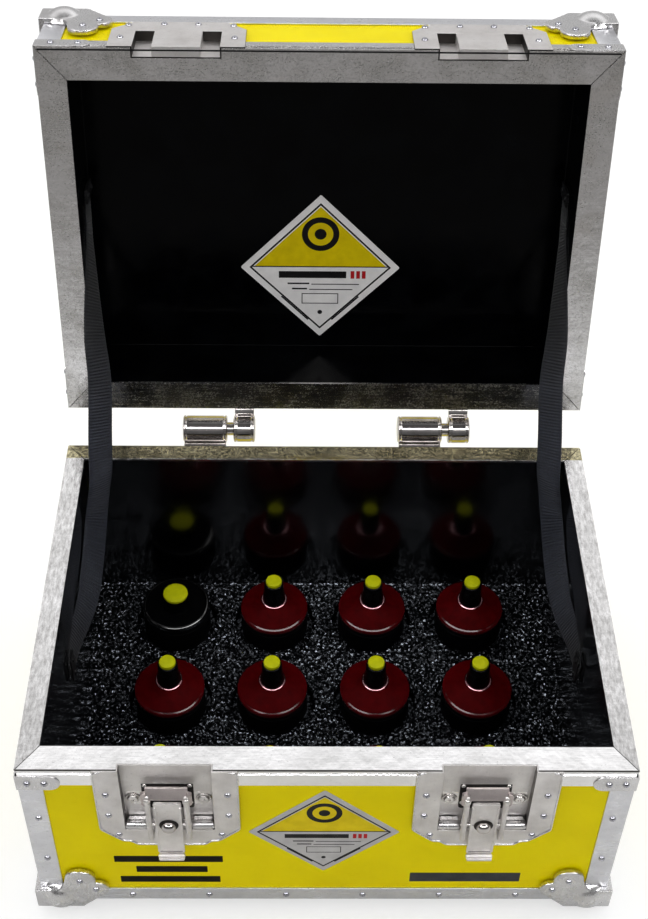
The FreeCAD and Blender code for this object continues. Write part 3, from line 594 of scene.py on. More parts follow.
# Painted shade: dark steel laid where the latch parts sit in shade, behind the lever, in its crease
# and on the lid dishes' sides.
PAINTED_SHADE_STEEL = worn_metal("latch_dark_steel", (62, 59, 57), (34, 32, 31), (0.45, 0.6), EVEN, 0.02)
CHROME = worn_metal("hinge_chrome", (214, 210, 208), (168, 163, 160), (0.05, 0.12),
                    (0.2, 1.0, 1.0), 0.01, 0.08)
BEAD = worn_metal("canister_bead", (176, 132, 138), (140, 100, 106), (0.12, 0.22), EVEN, 0.01)
LINING = gloss_lining("lining_gloss", 1.65, 0.1, (0.12, 0.2))
LID_LINING = gloss_lining("lid_lining_gloss", 1.16, 0.0, (0.1, 0.3))
PEBBLE = pebbled_insert()
RED = moulded("canister_red_paint", (84, 1, 5), (66, 0, 3), (0.45, 0.6), 0.02, 0.03)
RED_EDGE = moulded("canister_red_gloss", (92, 6, 14), (72, 3, 8), (0.08, 0.16), 0.01, 0.34)
BLACK = moulded("canister_black_paint", (7, 7, 9), (3, 3, 4), (0.2, 0.36), 0.02, 0.09)
DULL_BLACK = moulded("canister_black_dull", (4, 4, 5), (2, 2, 3), (0.5, 0.7), 0.03, 0.02)
BLACK_EDGE = moulded("canister_black_gloss", (9, 9, 11), (5, 5, 6), (0.08, 0.16), 0.01, 1.0)
TIP = moulded("canister_tip_paint", (222, 224, 10), (198, 204, 4), (0.4, 0.6), 0.06, 0.15)
RUBBER = moulded("seal_rubber", (18, 18, 20), (9, 9, 11), (0.45, 0.7), 0.05, 0.2)
GRIP = moulded("handle_grip", (24, 24, 26), (14, 14, 16), (0.45, 0.65), 0.12, 0.4)
# Painted shade: the front label's white is a darker copy of the lid label's white, for the shade on
# the front.
FRONT_WHITE_PAINTED_SHADE = print_ink("front_label_white", (198, 196, 196), (182, 180, 180))
LID_WHITE = print_ink("lid_label_white", (246, 244, 243), (232, 230, 230))
INK_YELLOW = print_ink("label_yellow", (232, 208, 0), (214, 190, 0))
INK_BLACK = print_ink("label_black", (26, 25, 27), (16, 15, 17))
INK_RED = print_ink("label_red", (198, 34, 40), (172, 24, 30))
PAINT_BLACK = print_ink("marking_paint", (16, 13, 4), (9, 7, 2), 0.7)
PAINT_GREY = print_ink("marking_grey", (58, 60, 62), (46, 48, 50))
WEBBING = webbing()


# ---- boards, rims and angles kept from the CAD ----
def second_material(node, material, outward):
    """Another material on the faces of a CAD node that look one way."""
    mesh = frame["nodes"][node].data
    if material.name not in mesh.materials:
        mesh.materials.append(material)
    for polygon in mesh.polygons:
        if polygon.normal.dot(outward) > 0.9:
            polygon.material_index = 1


def dress_cad():
    lid_outward = LID_SWING.to_3x3() @ -UP
    for half, outward, rim, rim_bevel, lining in (
        ("base", UP, BASE_RIM, 0.15, LINING),
        ("lid", lid_outward, RIM, 0.3, LID_LINING),
    ):
        for board in ("_front_panel", "_rear_panel", "_side_panels"):
            keep_cad(half + board, YELLOW, 0.35)
            second_material(half + board, RUBBER, outward)
        keep_cad(half + "_liner", lining, 0.6)
        keep_cad(half + "_rim_frame", rim, rim_bevel)
        keep_cad(half + "_corner_angles", TRIM, 0.5)
        keep_cad(half + "_rim_brackets", PLATED, 0.4)
    for node in ("base_bottom_panel", "lid_top_panel"):
        keep_cad(node, YELLOW, 0.35)
    for node in ("base_bottom_angles", "lid_top_angles"):
        keep_cad(node, TRIM, 0.5)
    for node in ("base_latch_dishes", "lid_latch_dishes", "lid_latch_strikes"):
        keep_cad(node, DISH, 0.3)
    # Painted shade: the base dishes' side walls take a darker copy of the dish steel; the lid dishes'
    # sides and back take the painted shade steel.
    for outward in (RIGHT, -RIGHT):
        second_material("base_latch_dishes", DISH_SIDE_PAINTED_SHADE, outward)
        second_material("lid_latch_dishes", PAINTED_SHADE_STEEL, outward)
    second_material("lid_latch_dishes", PAINTED_SHADE_STEEL, lid_outward)


def lid_seal():
    """Thin black seal set in along the front edge of the lid rim face."""
    low, high = span("lid_rim_frame")
    bm = bmesh.new()
    slab(bm, low.x + 2.5, high.x - 2.5, low.y + 1.4, low.y + 2.7, 0.6,
         Matrix.Translation((0, 0, low.z - 0.25)), 0.6)
    piece("lid_rim_seal", bm, [RUBBER], "lid", [])


# ---- ball corners ----
def melt(obj, voxel, smoothing):
    """Joins overlapping solids into one skin and rounds its edges."""
    modify(obj, "REMESH", mode="VOXEL", voxel_size=voxel * MM)
    modify(obj, "SMOOTH", factor=0.5, iterations=smoothing)
    graph = bpy.context.evaluated_depsgraph_get()
    melted = bpy.data.meshes.new_from_object(obj.evaluated_get(graph))
    obj.modifiers.clear()
    obj.data = melted
    melted.polygons.foreach_set("use_smooth", [True] * len(melted.polygons))


def ball_corners(half):
    """Stamped corners: the CAD solids melted smooth, with raised pads round the ball."""
    lid = half == "lid"
    node = half + "_ball_corners"
    pad = rounded([(-1, -1), (26, -1), (28, 8), (22, 16.5), (16, 18), (-1, 18)], 3)
    bm = welded(node)
    for low, high in boxes(node):
        centre = (low + high) / 2
        sign = Vector([1 if centre.x < 0 else -1, 1 if centre.y < 0 else -1, -1 if lid else 1])
        origin = Vector((BASE_LOW.x * sign.x, BASE_LOW.y * sign.y, LID_HIGH.z if lid else BASE_LOW.z))
        corner = Matrix.Translation(origin) @ Matrix.Diagonal((*sign, 1))
        for face in ((RIGHT, UP, -BACK), (BACK, UP, -RIGHT), (RIGHT, BACK, -UP)):
            plate(bm, pad, corner @ axes(*face), 4.6)
    obj = piece(half + "_ball_corner_skin", bm, [PLATED], half, [node])
    melt(obj, 0.75, 5)


# ---- rivets ----
RIVET_PROFILE = ((0.0, -0.4), (1.04, -0.4), (1.08, 0.1), (1.02, 0.45), (0.86, 0.9), (0.6, 1.28),
                 (0.32, 1.44), (0.22, 1.36), (0.15, 1.0), (0.0, 0.9))


def rivets(name, node, body):
    """Domed rivets with a small centre dimple, where the CAD has its cones."""
    bm = bmesh.new()
    for points in islands(node):
        low, high = limits(points)
        size = high - low
        centre = (low + high) / 2
        axis = min(range(3), key=lambda i: size[i])
        a, b = [i for i in range(3) if i != axis]
        reach = [0.0, 0.0]
        for point in points:
            far = int(point[axis] >= centre[axis])
            reach[far] = max(reach[far], math.hypot(point[a] - centre[a], point[b] - centre[b]))
        out = Vector((0, 0, 0))
        out[axis] = 1 if reach[0] > reach[1] else -1
        foot = centre.copy()
        foot[axis] = low[axis] if out[axis] > 0 else high[axis]
        profile = [(r * max(reach), h * size[axis] * 1.15) for r, h in RIVET_PROFILE]
        lathe(bm, profile, facing(foot, out), 18)
    piece(name, bm, [RIVET], body, [node])


# ---- latches ----
def latch_x(side):
    low, high = span("latch_lever_" + side)
    return (low.x + high.x) / 2


def latch_lever(side):
    """Pressed lever: side ribs, rolled top, domed boss, and a painted shadow strip for the crease
    over a curled lip.
    """
    node = "latch_lever_" + side
    low, high = span(node)
    x = latch_x(side)
    half = (high.x - low.x) / 2
    pivot = joint_point(node + "_pivot")
    thick = 2.2
    front = pivot.y - thick / 2
    bm = bmesh.new()
    blade = [(-half + 0.9, low.z + 1), (half - 0.9, low.z + 1), (half, high.z), (-half, high.z)]
    plate(bm, rounded(blade, 1.6), front_plane(pivot.y + thick / 2, x), thick)
    for way in (-1, 1):
        u = way * (half - 1.1)
        slab(bm, u - 0.9, u + 0.9, low.z + 6, pivot.z, 0.8, front_plane(front + 0.1, x), 0.9)
    slab(bm, -half, half, high.z - 1.8, high.z, 0.8, front_plane(front + 0.2, x), 0.7)
    roll = 1.9
    ends = [(x + way * (half - 1.2), front - 1.6, low.z + roll) for way in (-1, 1)]
    tube(bm, ends, roll, 14)
    lip = rounded([(-half, 0), (half, 0), (half - 0.8, 5.2), (-half + 0.8, 5.2)], 1.3)
    plate(bm, lip, axes(RIGHT, -BACK, UP, (x, front, low.z)), roll)
    at_boss = front_plane(front, x, joint_point("latch_hook_%s_pivot" % side).z)
    skirt = [(0, -1), (7.6, -1), (7.6, 0.5), (7.0, 1.0), (5.2, 1.1), (0, 1.1)]
    lathe(bm, skirt, at_boss, 28, 2)
    boss = [(0, 0), (5.6, 0), (5.6, 2.6), (5.2, 3.7), (4.5, 4.6), (3.4, 5.3), (1.8, 5.8), (0, 6.0)]
    lathe(bm, boss, at_boss, 28, 1)
    # Painted shadow: a thin dark strip standing in for the crease's shade above the lip.
    slab(bm, -half + 0.6, half - 0.6, low.z + 5.3, low.z + 6.3, 0.4,
         front_plane(front + 0.5, x), 0.62, 2)
    piece("latch_lever_skin_" + side, bm, [DISH, CHROME, PAINTED_SHADE_STEEL], node, [node],
          bevel=0.35)


def latch_hook(side):
    """Claw: cross block between two wings, and two round arms with domed shoulders."""
    node = "latch_hook_" + side
    low, high = span(node)
    x = latch_x(side)
    pivot = joint_point(node + "_pivot")
    y = pivot.y
    half = (high.x - low.x) / 2
    top = high.z
    bottom = top - 8.8
    width = half - 3.2
    bm = bmesh.new()
    body = rounded([(y - 3.2, bottom), (y + 3.0, bottom), (high.y, top), (high.y - 1.6, top)], 0.9)
    plate(bm, body, axes(BACK, UP, RIGHT, (x - width, 0, 0)), 2 * width, 1)
    for way in (-1, 1):
        inner = way * (half - 4.0)
        wing = [(inner, top - 1.2), (way * half, top - 3.0), (way * half, bottom - 7.0),
                (way * (half - 1.6), bottom - 9.0), (inner, bottom - 9.0)]
        plate(bm, rounded(wing, 1.0), front_plane(y + 1.6, x), 3.0, 1)
        arm = x + way * 15.0
        tube(bm, [(arm, y - 0.9, bottom - 1.0), (arm, y - 0.9, bottom - 4.2)], 2.9, 18)
        tube(bm, [(arm, y, bottom + 2), (arm, y - 0.3, bottom - 6), (arm, y - 0.2, pivot.z),
                  (arm, y + 0.1, low.z + 2.4)], 2.4, 16, 2)
    tube(bm, [(x - half + 2.4, y, pivot.z), (x + half - 2.4, y, pivot.z)], 1.5, 12)
    piece("latch_hook_skin_" + side, bm, [LATCH, BLOCK, DISH], node, [node],
          bevel=0.3)


def screw(bm, point, direction, radius, height):
    """Low domed screw head with a cross recess drawn as a sunk centre."""
    shares = ((1, 0.35), (0.86, 0.8), (0.55, 1), (0.34, 1), (0.26, 0.45), (0, 0.4))
    profile = [(0, -0.5), (radius, -0.5)] + [(radius * r, height * h) for r, h in shares]
    lathe(bm, profile, facing(point, direction), 20)


def latch_fittings(side):
    """Oblong chassis plate leaning back in its dish, with its screws and a middle lug coloured as
    painted shade behind the lever.
    """
    x = latch_x(side)
    low, high = box_at("latch_chassis", x)
    half = (high.x - low.x) / 2
    tall = high.z - low.z
    lean = Matrix.Translation((x, high.y, low.z)) @ Matrix.Rotation(math.radians(-2.8), 4, "X")
    bm = bmesh.new()
    plate(bm, rounded(rectangle(-half, half, 2.0, tall), 8.5, 8), lean @ front_plane(0.2), 2.0)
    # Painted shade: the middle lug is dark where the shade behind the lever falls.
    slab(bm, -half + 13, half - 13, -1.5, tall + 4, 3, lean @ front_plane(0), 2.9, 1)
    collar = [(5.6, -1.0), (6.3, 0.1), (6.0, 0.7), (5.3, 0.7), (4.9, 0.1), (4.8, -1.0), (5.6, -1.0)]
    for way in (-1, 1):
        spot = lean @ Vector((way * (half - 5.6), -1.8, 10.0))
        screw(bm, spot, -BACK, 4.6, 2.2)
        lathe(bm, collar, facing(spot, -BACK), 24)
        for z in (27.6, 6.0):
            screw(bm, lean @ Vector((way * (half - 15.5), -2.7, z)), -BACK, 1.9, 1.0)
    piece("latch_chassis_skin_" + side, bm, [LATCH, PAINTED_SHADE_STEEL], "base",
          ["latch_chassis", "latch_lever_pins"], bevel=0.3)


def dish_trim(side):
    """Rolled ledges at the foot of the pocket and a raised bead round the flange."""
    x = latch_x(side)
    low, high = box_at("base_latch_dishes", x)
    face = low.y
    foot = low.z + 21.5
    bm = bmesh.new()
    for way in (-1, 1):
        x0, x1 = sorted((x + way * 18.4, x + way * 33.2))
        tube(bm, [(x0, face + 3.2, foot + 3.6), (x1, face + 3.2, foot + 3.6)], 3.7, 18)
        ledge = rectangle(x0, x1, face + 2.6, face + 9.0)
        plate(bm, ledge, Matrix.Translation((0, 0, foot)), 6.2)
    edge = [(-54.6, high.z - 1), (-54.6, low.z + 22.5), (-37.8, low.z + 5.9), (-32.0, low.z + 5.9),
            (-26.8, low.z + 0.6)]
    edge += [(-u, v) for u, v in reversed(edge)]
    tube(bm, [(x + u, face - 0.1, v) for u, v in rounded(edge, 6)], 0.8, 10)
    piece("latch_dish_ledges_" + side, bm, [PLATED], "base", [], bevel=0.5)


# ---- hinges ----
def along_hinge(bm, x, half_profile, length, segments):
    """Turns half a profile and its mirror image about the hinge line, from x on."""
    profile = half_profile + [(radius, length - w) for radius, w in reversed(half_profile)]
    lathe(bm, profile, axes(-UP, BACK, RIGHT, (x, HINGE.y, HINGE.z)), segments)


def hinge_half(bm, low, high, way):
    """Barrel with a curved web down (way -1) or up (way +1) to its leaf on the rear face."""
    radius = abs((high.z if way < 0 else low.z) - HINGE.z)
    length = high.x - low.x
    shares = ((0, 0), (0.72, 0), (0.92, 0.3), (1, 1.2), (1, 2.2), (0.955, 2.6), (0.955, 3.2),
              (0.99, 3.7))
    along_hinge(bm, low.x, [(radius * share, w) for share, w in shares], length, 48)
    outer = []
    inner = []
    for k in range(13):
        a = math.radians(90 * k / 12)
        outer.append((REAR + 2.5 + 10.5 * (1 - math.cos(a)), way * (15.5 - 9.0 * math.sin(a))))
        inner.append((REAR + 6.5 + 13.0 * (1 - math.cos(a)), way * (19.0 - 9.5 * math.sin(a))))
    web = outer + [(HINGE.y - 4, way * 4.0), (HINGE.y, way * 9.0)] + inner[::-1]
    web = [(REAR, way * 12.0)] + web + [(REAR, way * 24.0)]
    plate(bm, web, axes(BACK, UP, RIGHT, (low.x + 1.2, 0, HINGE.z)), length - 2.4)
    reach = abs((low.z if way < 0 else high.z) - HINGE.z)
    slab(bm, low.x, high.x, HINGE.z + way * 10.0, HINGE.z + way * reach, 3.5,
         axes(RIGHT, UP, BACK, (0, REAR, 0)), 2.5)


def hinges():
    for half, way in (("base", -1), ("lid", 1)):
        node = "hinge_" + half + "_leaves"
        bm = bmesh.new()
        for box in boxes(node):
            hinge_half(bm, *box, way)
        piece("hinge_" + half + "_skin", bm, [CHROME], half, [node], bevel=0.4)
    bm = bmesh.new()
    for low, high in boxes("hinge_pins"):
        radius = (high.z - low.z) / 2
        profile = [(0, 0), (radius * 0.8, 0), (radius, 0.8)]
        along_hinge(bm, low.x, profile, high.x - low.x, 32)
    piece("hinge_pin_skin", bm, [CHROME], "base", ["hinge_pins"])


# ---- side handles ----
LUG = 4.0               # thickness of a handle lug
BEND = 9.0              # radius of the bar's lower corners


def handle_plates():
    """Plates on the side walls with two lugs and four screws each."""
    lug_y = span("side_handle_left")[1].y
    outline = rounded([(0, -6), (5, -6), (13.5, -6), (13.5, 6), (5, 6), (0, 6)], 5.6)
    bm = bmesh.new()
    for low, high in boxes("handle_plates"):
        out = -1 if low.x < 0 else 1
        wall = high.x if out < 0 else low.x
        pivot_z = (low.z + high.z) / 2
        slab(bm, low.y, high.y, low.z, high.z, 7, axes(BACK, UP, out * RIGHT, (wall, 0, 0)), 2.0)
        for way in (-1, 1):
            y = way * (lug_y - LUG / 2)
            plate(bm, outline, axes(out * RIGHT, UP, BACK, (wall, y - LUG / 2, pivot_z)), LUG)
            for z in (-12, 12):
                screw(bm, (wall + out * 2.0, y, pivot_z + z), out * RIGHT, 3.2, 1.6)
    piece("handle_plate_skin", bm, [PLATED], "base", ["handle_plates"], bevel=0.45)


def side_handle(side):
    """Drop handle: a bent bar on two pins, with a ribbed grip."""
    node = "side_handle_" + side
    low, high = span(node)
    x, _, pivot_z = joint_point(node + "_pivot")
    half = high.y - 10.0
    bottom = low.z + 6.5
    front = [(x, -half, pivot_z)]
    for k in range(7):
        a = math.radians(90 * k / 6)
        front.append((x, -half + BEND - BEND * math.cos(a), bottom + BEND - BEND * math.sin(a)))
    bm = bmesh.new()
    tube(bm, front + [(x, -y, z) for x, y, z in reversed(front)], 4.0, 18)
    for way in (-1, 1):
        tube(bm, [(x, way * (half - 1), pivot_z), (x, way * (half + 8.6), pivot_z)], 3.0, 14)
    piece("handle_bar_skin_" + side, bm, [LATCH], node, [node])

    grip = half - 12.0
    ribs = 14
    profile = [(0, -grip), (4.4, -grip), (6.0, -grip + 0.8), (6.5, -grip + 2.4)]
    for k in range(ribs):
        w = -grip + 4 + (2 * grip - 8) * k / (ribs - 1)
        profile += [(6.5, w - 1.5), (5.9, w - 0.8), (5.9, w + 0.8), (6.5, w + 1.5)]
    profile += [(6.5, grip - 2.4), (6.0, grip - 0.8), (4.4, grip), (0, grip)]
    bm = bmesh.new()
    lathe(bm, profile, facing((x, 0, bottom), BACK), 28)
    piece("handle_grip_" + side, bm, [GRIP], node, [])


# ---- foam insert ----
WELL_PLAY = 6.0         # open ring round each pot
STEP = 1.25             # size of the mesh that carries the pebbles


def foam_point(x, y, top, wells, well_floor, edge):
    """Point of the sheet: pebbled, or down in a well, or drawn on to a well's rim."""
    for cx, cy, radius in wells:
        reach = math.hypot(x - cx, y - cy)
        if abs(reach - radius) < STEP * 0.55:
            share = (radius + 0.02) / reach
            x = cx + (x - cx) * share
            y = cy + (y - cy) * share
            break
        if reach < radius:
            return x, y, well_floor
    if edge:
        return x, y, top
    coarse = noise.noise(Vector((x * 0.33, y * 0.33, 3.1)))
    fine = noise.noise(Vector((x * 0.8, y * 0.8, 9.7)))
    pebble = max(0.0, coarse * 1.5 + fine * 0.75 + 0.1)
    return x, y, top + min(1.9, 1.9 * pebble) - 1.1


def foam():
    """Pebbled sheet with a well under every canister; the pebbles are real relief."""
    low, high = span("foam_insert")
    spans = [span(node) for node in CANISTERS]
    wells = [((a.x + b.x) / 2, (a.y + b.y) / 2, (b.x - a.x) / 2 + WELL_PLAY) for a, b in spans]
    well_floor = min(a.z for a, _ in spans) - 0.3
    nx = int((high.x - low.x) / STEP)
    ny = int((high.y - low.y) / STEP)
    bm = bmesh.new()
    grid = []
    for j in range(ny + 1):
        y = low.y + (high.y - low.y) * j / ny
        row = []
        for i in range(nx + 1):
            x = low.x + (high.x - low.x) * i / nx
            edge = i in (0, nx) or j in (0, ny)
            row.append(bm.verts.new(foam_point(x, y, high.z, wells, well_floor, edge)))
        grid.append(row)
    for j in range(ny):
        for i in range(nx):
            bm.faces.new((grid[j][i], grid[j][i + 1], grid[j + 1][i + 1], grid[j + 1][i]))
    rim = grid[0] + [row[nx] for row in grid[1:]]
    rim += grid[ny][-2::-1] + [row[0] for row in grid[-2:0:-1]]
    under = [bm.verts.new((v.co.x, v.co.y, low.z)) for v in rim]
    join_rings(bm, [rim, under])
    bm.faces.new(under)
    piece("foam_insert_skin", bm, [PEBBLE], "base", ["foam_insert"])


# ---- canisters ----
SHORT_TIPS = ("canister_front_2", "canister_front_3")
POT_TOP = 31.0
CONE_TOP = 41.0
TIP_LOW = 64.5
BOSS = 11.5             # radius of the odd canister's boss


def turned(node, part, materials, slot_name, *turns):
    """Part of a canister, turned from (profile, segments, material slot) about its middle."""
    low, high = span(node)
    centre = Matrix.Translation(((low.x + high.x) / 2, (low.y + high.y) / 2, low.z))
    bm = bmesh.new()
    for profile, segments, slot in turns:
        lathe(bm, profile, centre, segments, slot)
    piece(node + part, bm, materials, node, [node])


def inset(radius, *points):
    """Profile from (distance in from the radius, height) points."""
    return [(radius - gap, height) for gap, height in points]


def pot_profile(radius, groove):
    """Pot wall from its foot up past a shallow groove."""
    wall = inset(radius, (1.5, 0), (0.4, 0.5), (0, 1.6), (0, groove), (0.55, groove + 0.4),
                 (0.55, groove + 1.6), (0, groove + 2))
    return [(0, 0)] + wall


def canister(node, radius, tall):
    """Black pot, red sloping cap, black knob on a bead and yellow tip, each a turned piece."""
    sunk = 1.8 if node in SHORT_TIPS else 0.0
    tip_low = TIP_LOW - sunk
    tall = tall - sunk
    pot = pot_profile(radius, 21) + [(radius, POT_TOP - 4.8), (0, POT_TOP - 4.8)]
    knob = [(0, CONE_TOP), (10.9, CONE_TOP), (10.7, CONE_TOP + 2.0), (10.2, 48.5), (9.5, 51.8),
            (9.1, 54.0), (9.0, tip_low - 1.6), (8.6, tip_low - 0.5), (7.8, tip_low), (0, tip_low)]
    turned(node, "_body", [BLACK, DULL_BLACK], "canister_black", (pot, 72, 1), (knob, 48, 0))

    edge = inset(radius, (0.6, POT_TOP - 5.0), (0, POT_TOP - 4.6), (0, POT_TOP - 2.2),
                 (0.3, POT_TOP - 1.7), (1.1, POT_TOP - 1.05), (1.9, POT_TOP - 0.4), (2.4, POT_TOP))
    edge = [(0, POT_TOP - 5.0)] + edge + [(0, POT_TOP)]
    turned(node, "_cap_edge", [RED_EDGE], "canister_red", (edge, 72, 0))

    cap = [(0, POT_TOP - 0.6), (radius - 2.0, POT_TOP - 0.6), (radius - 2.0, POT_TOP + 0.1),
           (24.0, 33.6), (18.0, 36.9), (13.4, CONE_TOP - 0.9), (12.6, CONE_TOP), (0, CONE_TOP)]
    turned(node, "_cap", [RED], "canister_red", (cap, 72, 0))

    bead = [(10.9, -0.6), (12.3, -0.6), (12.4, -0.1), (12.05, 0.2), (11.7, 0.5), (11.3, 0.65),
            (10.9, 0.65), (10.9, -0.6)]
    bead = [(r, CONE_TOP + height) for r, height in bead]
    turned(node, "_bead", [BEAD], "canister_black", (bead, 56, 0))

    tip = [(0, tip_low - 0.6), (7.4, tip_low - 0.6), (7.5, tip_low + 0.2), (7.5, tall - 1.5),
           (7.1, tall - 0.6), (6.0, tall - 0.15), (3.2, tall), (0, tall)]
    turned(node, "_tip", [TIP], "label_print", (tip, 40, 0))


def odd_canister(node, radius, tall):
    """Flat topped pot with a raised rim and a wide boss under a yellow disc."""
    pot = pot_profile(radius, 24) + [
        (radius, 30.0), (radius - 3.3, 31.2), (12.6, 31.0), (12.0, 31.6), (BOSS, 33),
        (BOSS, tall - 2.6), (0, tall - 2.6),
    ]
    rim = inset(radius, (3.4, 30.6), (0, 30.0), (0, 32.4), (0.3, 32.9), (1.0, 33.5), (1.7, 34.0),
                (2.4, 34.1), (2.9, 33.6), (3.4, 30.6))
    turned(node, "_body", [BLACK, BLACK_EDGE, DULL_BLACK], "canister_black",
           (pot, 72, 2), (rim, 72, 1))
    disc = [(0, tall - 3.2), (BOSS, tall - 3.2), (BOSS + 0.2, tall - 2.4), (BOSS, tall - 0.9),
            (10.8, tall - 0.25), (9.4, tall), (0, tall)]
    turned(node, "_disc", [TIP], "label_print", (disc, 48, 0))


def canisters():
    for node in CANISTERS:
        low, high = span(node)
        tall = high.z - low.z
        draw = odd_canister if tall < 60 else canister
        draw(node, (high.x - low.x) / 2, tall)


# ---- labels and markings ----
def diamond(half):
    return [(-half, 0), (0, -half), (half, 0), (0, half)]


def label(name, node, place, body, white):
    """Diamond label: white card, black keyline, yellow upper half, plain ring and bars."""
    low, high = span(node)
    half = (high.x - low.x) / 2
    reach = half * 0.855
    bm = bmesh.new()
    plate(bm, rounded(diamond(half), 1.6), place, 0.4)
    base = place @ Matrix.Translation((0, 0, 0.36))
    keyline = rounded(diamond(half * 0.89), 0.6), rounded(diamond(half * 0.858), 0.6)
    ring_plate(bm, *keyline, base, 0.1, 2)
    plate(bm, [(-reach + 2.2, 1.1), (reach - 2.2, 1.1), (0, reach - 1.1)], base, 0.1, 1)
    plate(bm, rectangle(-reach, reach, 0.2, 1.3), base, 0.12, 2)
    # The marks are drawn on a card that reaches 73 units each way.
    unit = half / 73.0
    marks = base @ Matrix.Diagonal((unit, unit, 1, 1))
    middle = marks @ Matrix.Translation((0, 34, 0))
    ring_plate(bm, circle(48, 17), circle(48, 11.5), middle, 0.16, 2)
    plate(bm, circle(48, 5.4), middle, 0.16, 2)
    for k in range(3):
        u = 28 + 5.2 * k
        plate(bm, rectangle(u, u + 3.4, -11.4, -3.6), marks, 0.12, 3)
    bars = [(-38, 24, -11, -4)]
    for k, (u0, u1) in enumerate(((-30, -10), (-26, -12))):
        v = -17.5 - 5.5 * k
        bars += [(u0, u1, v, v + 1.6), (u1 + 2, 36 - 6 * k, v - 0.4, v + 0.5)]
    for bar in bars:
        plate(bm, rectangle(*bar), marks, 0.12, 2)
    ring_plate(bm, rectangle(-17, 17, -38, -27), rectangle(-16.2, 16.2, -37.2, -27.8), marks, 0.12, 2)
    plate(bm, circle(48, 2.2), marks @ Matrix.Translation((0, -47, 0)), 0.12, 2)
    for way in (-1, 1):
        slope = Matrix.Translation((way * 73 * 0.32, -73 * 0.585, 0))
        slope = slope @ Matrix.Rotation(math.radians(45 * way), 4, "Z")
        plate(bm, rectangle(-73 * 0.24, 73 * 0.24, -0.7, 0.7), marks @ slope, 0.12, 2)
    piece(name, bm, [white, INK_YELLOW, INK_BLACK, INK_RED], body, [node])


def labels():
    low, high = span("base_label")
    centre = (low + high) / 2
    place = front_plane(high.y, centre.x, centre.z)
    label("front_diamond", "base_label", place, "base", FRONT_WHITE_PAINTED_SHADE)
    low, high = span("lid_label")
    centre = (low + high) / 2
    down = axes(RIGHT, -BACK, -UP, (centre.x, centre.y, high.z))
    label("lid_diamond", "lid_label", down, "lid", LID_WHITE)


def markings():
    """Plain painted bars on the front board; the one furthest right is grey."""
    bars = boxes("base_markings")
    last = max(high.x for low, high in bars)
    black = bmesh.new()
    grey = bmesh.new()
    for low, high in bars:
        target = grey if high.x == last else black
        slab(target, low.x, high.x, low.z, high.z, 0.5, front_plane(high.y), 0.12)
    piece("front_paint_bars", black, [PAINT_BLACK], "base", ["base_markings"])
    piece("front_grey_bar", grey, [PAINT_GREY], "base", ["base_markings"])


# ---- lid straps ----
PITCH = 0.7             # distance between rows of the webbing
RIB = 2.8               # length of one rib of the webbing
# Inset from the end of the strap, y, and height: along the wall, then over the base rim.
STRAP_RISE = ((1, 3, 5), (7, 44, 7), (8, 85, 12), (9, 119, 29), (12, 130, 50))
STRAP_OVER = ((16, 134, 2), (17, 146, 34), (18, 172, 80))
STRAP_TURNS = (0, 24, 44, 46, 48, 52, 50, 42, 22, 4, 0)     # degrees, evenly along the strap


def smooth_path(points, step):
    """Even points along a curve through the given ones."""
    points = [Vector(p) for p in points]
    fine = []
    count = len(points)
    for i in range(count - 1):
        p0 = points[max(i - 1, 0)]
        p1 = points[i]
        p2 = points[i + 1]
        p3 = points[min(i + 2, count - 1)]
        for k in range(24):
            t = k / 24
            fine.append(0.5 * (2 * p1 + (p2 - p0) * t + (2 * p0 - 5 * p1 + 4 * p2 - p3) * t * t
                               + (3 * p1 - p0 - 3 * p2 + p3) * t ** 3))
    fine.append(points[-1])
    out = [fine[0]]
    carried = 0.0
    for a, b in zip(fine, fine[1:]):
        length = (b - a).length
        while carried + length >= step:
            share = (step - carried) / length
            a = a + (b - a) * share
            length = (b - a).length
            out.append(a.copy())
            carried = 0.0
        carried += length
    return out


def strap_route(out):
    """Line of the strap's middle, from its base plate to its lid plate."""
    low, high = span("base_strap_ends")
    x = high.x - 0.9
    z = (low.z + high.z) / 2
    route = [(out * x, low.y + 2, z)]
    route += [(out * (x - gap), y, z + rise) for gap, y, rise in STRAP_RISE]
    route += [(out * (x - gap), y, BASE_HIGH.z + rise) for gap, y, rise in STRAP_OVER]
    low, high = span("lid_strap_ends")
    x = high.x - 0.9
    z = (low.z + high.z) / 2
    route.append((out * (x - 6), 200, BASE_HIGH.z + 116))
    route.append(LID_SWING @ Vector((out * x, low.y + 44, z - 4)))
    route.append(LID_SWING @ Vector((out * x, low.y + 4, z)))
    return smooth_path(route, PITCH)


def strap_turn(share):
    """Turn of the strap about its length, in radians, at a share of its length."""
    place = share * (len(STRAP_TURNS) - 1)
    k = min(int(place), len(STRAP_TURNS) - 2)
    return math.radians(STRAP_TURNS[k] + (STRAP_TURNS[k + 1] - STRAP_TURNS[k]) * (place - k))


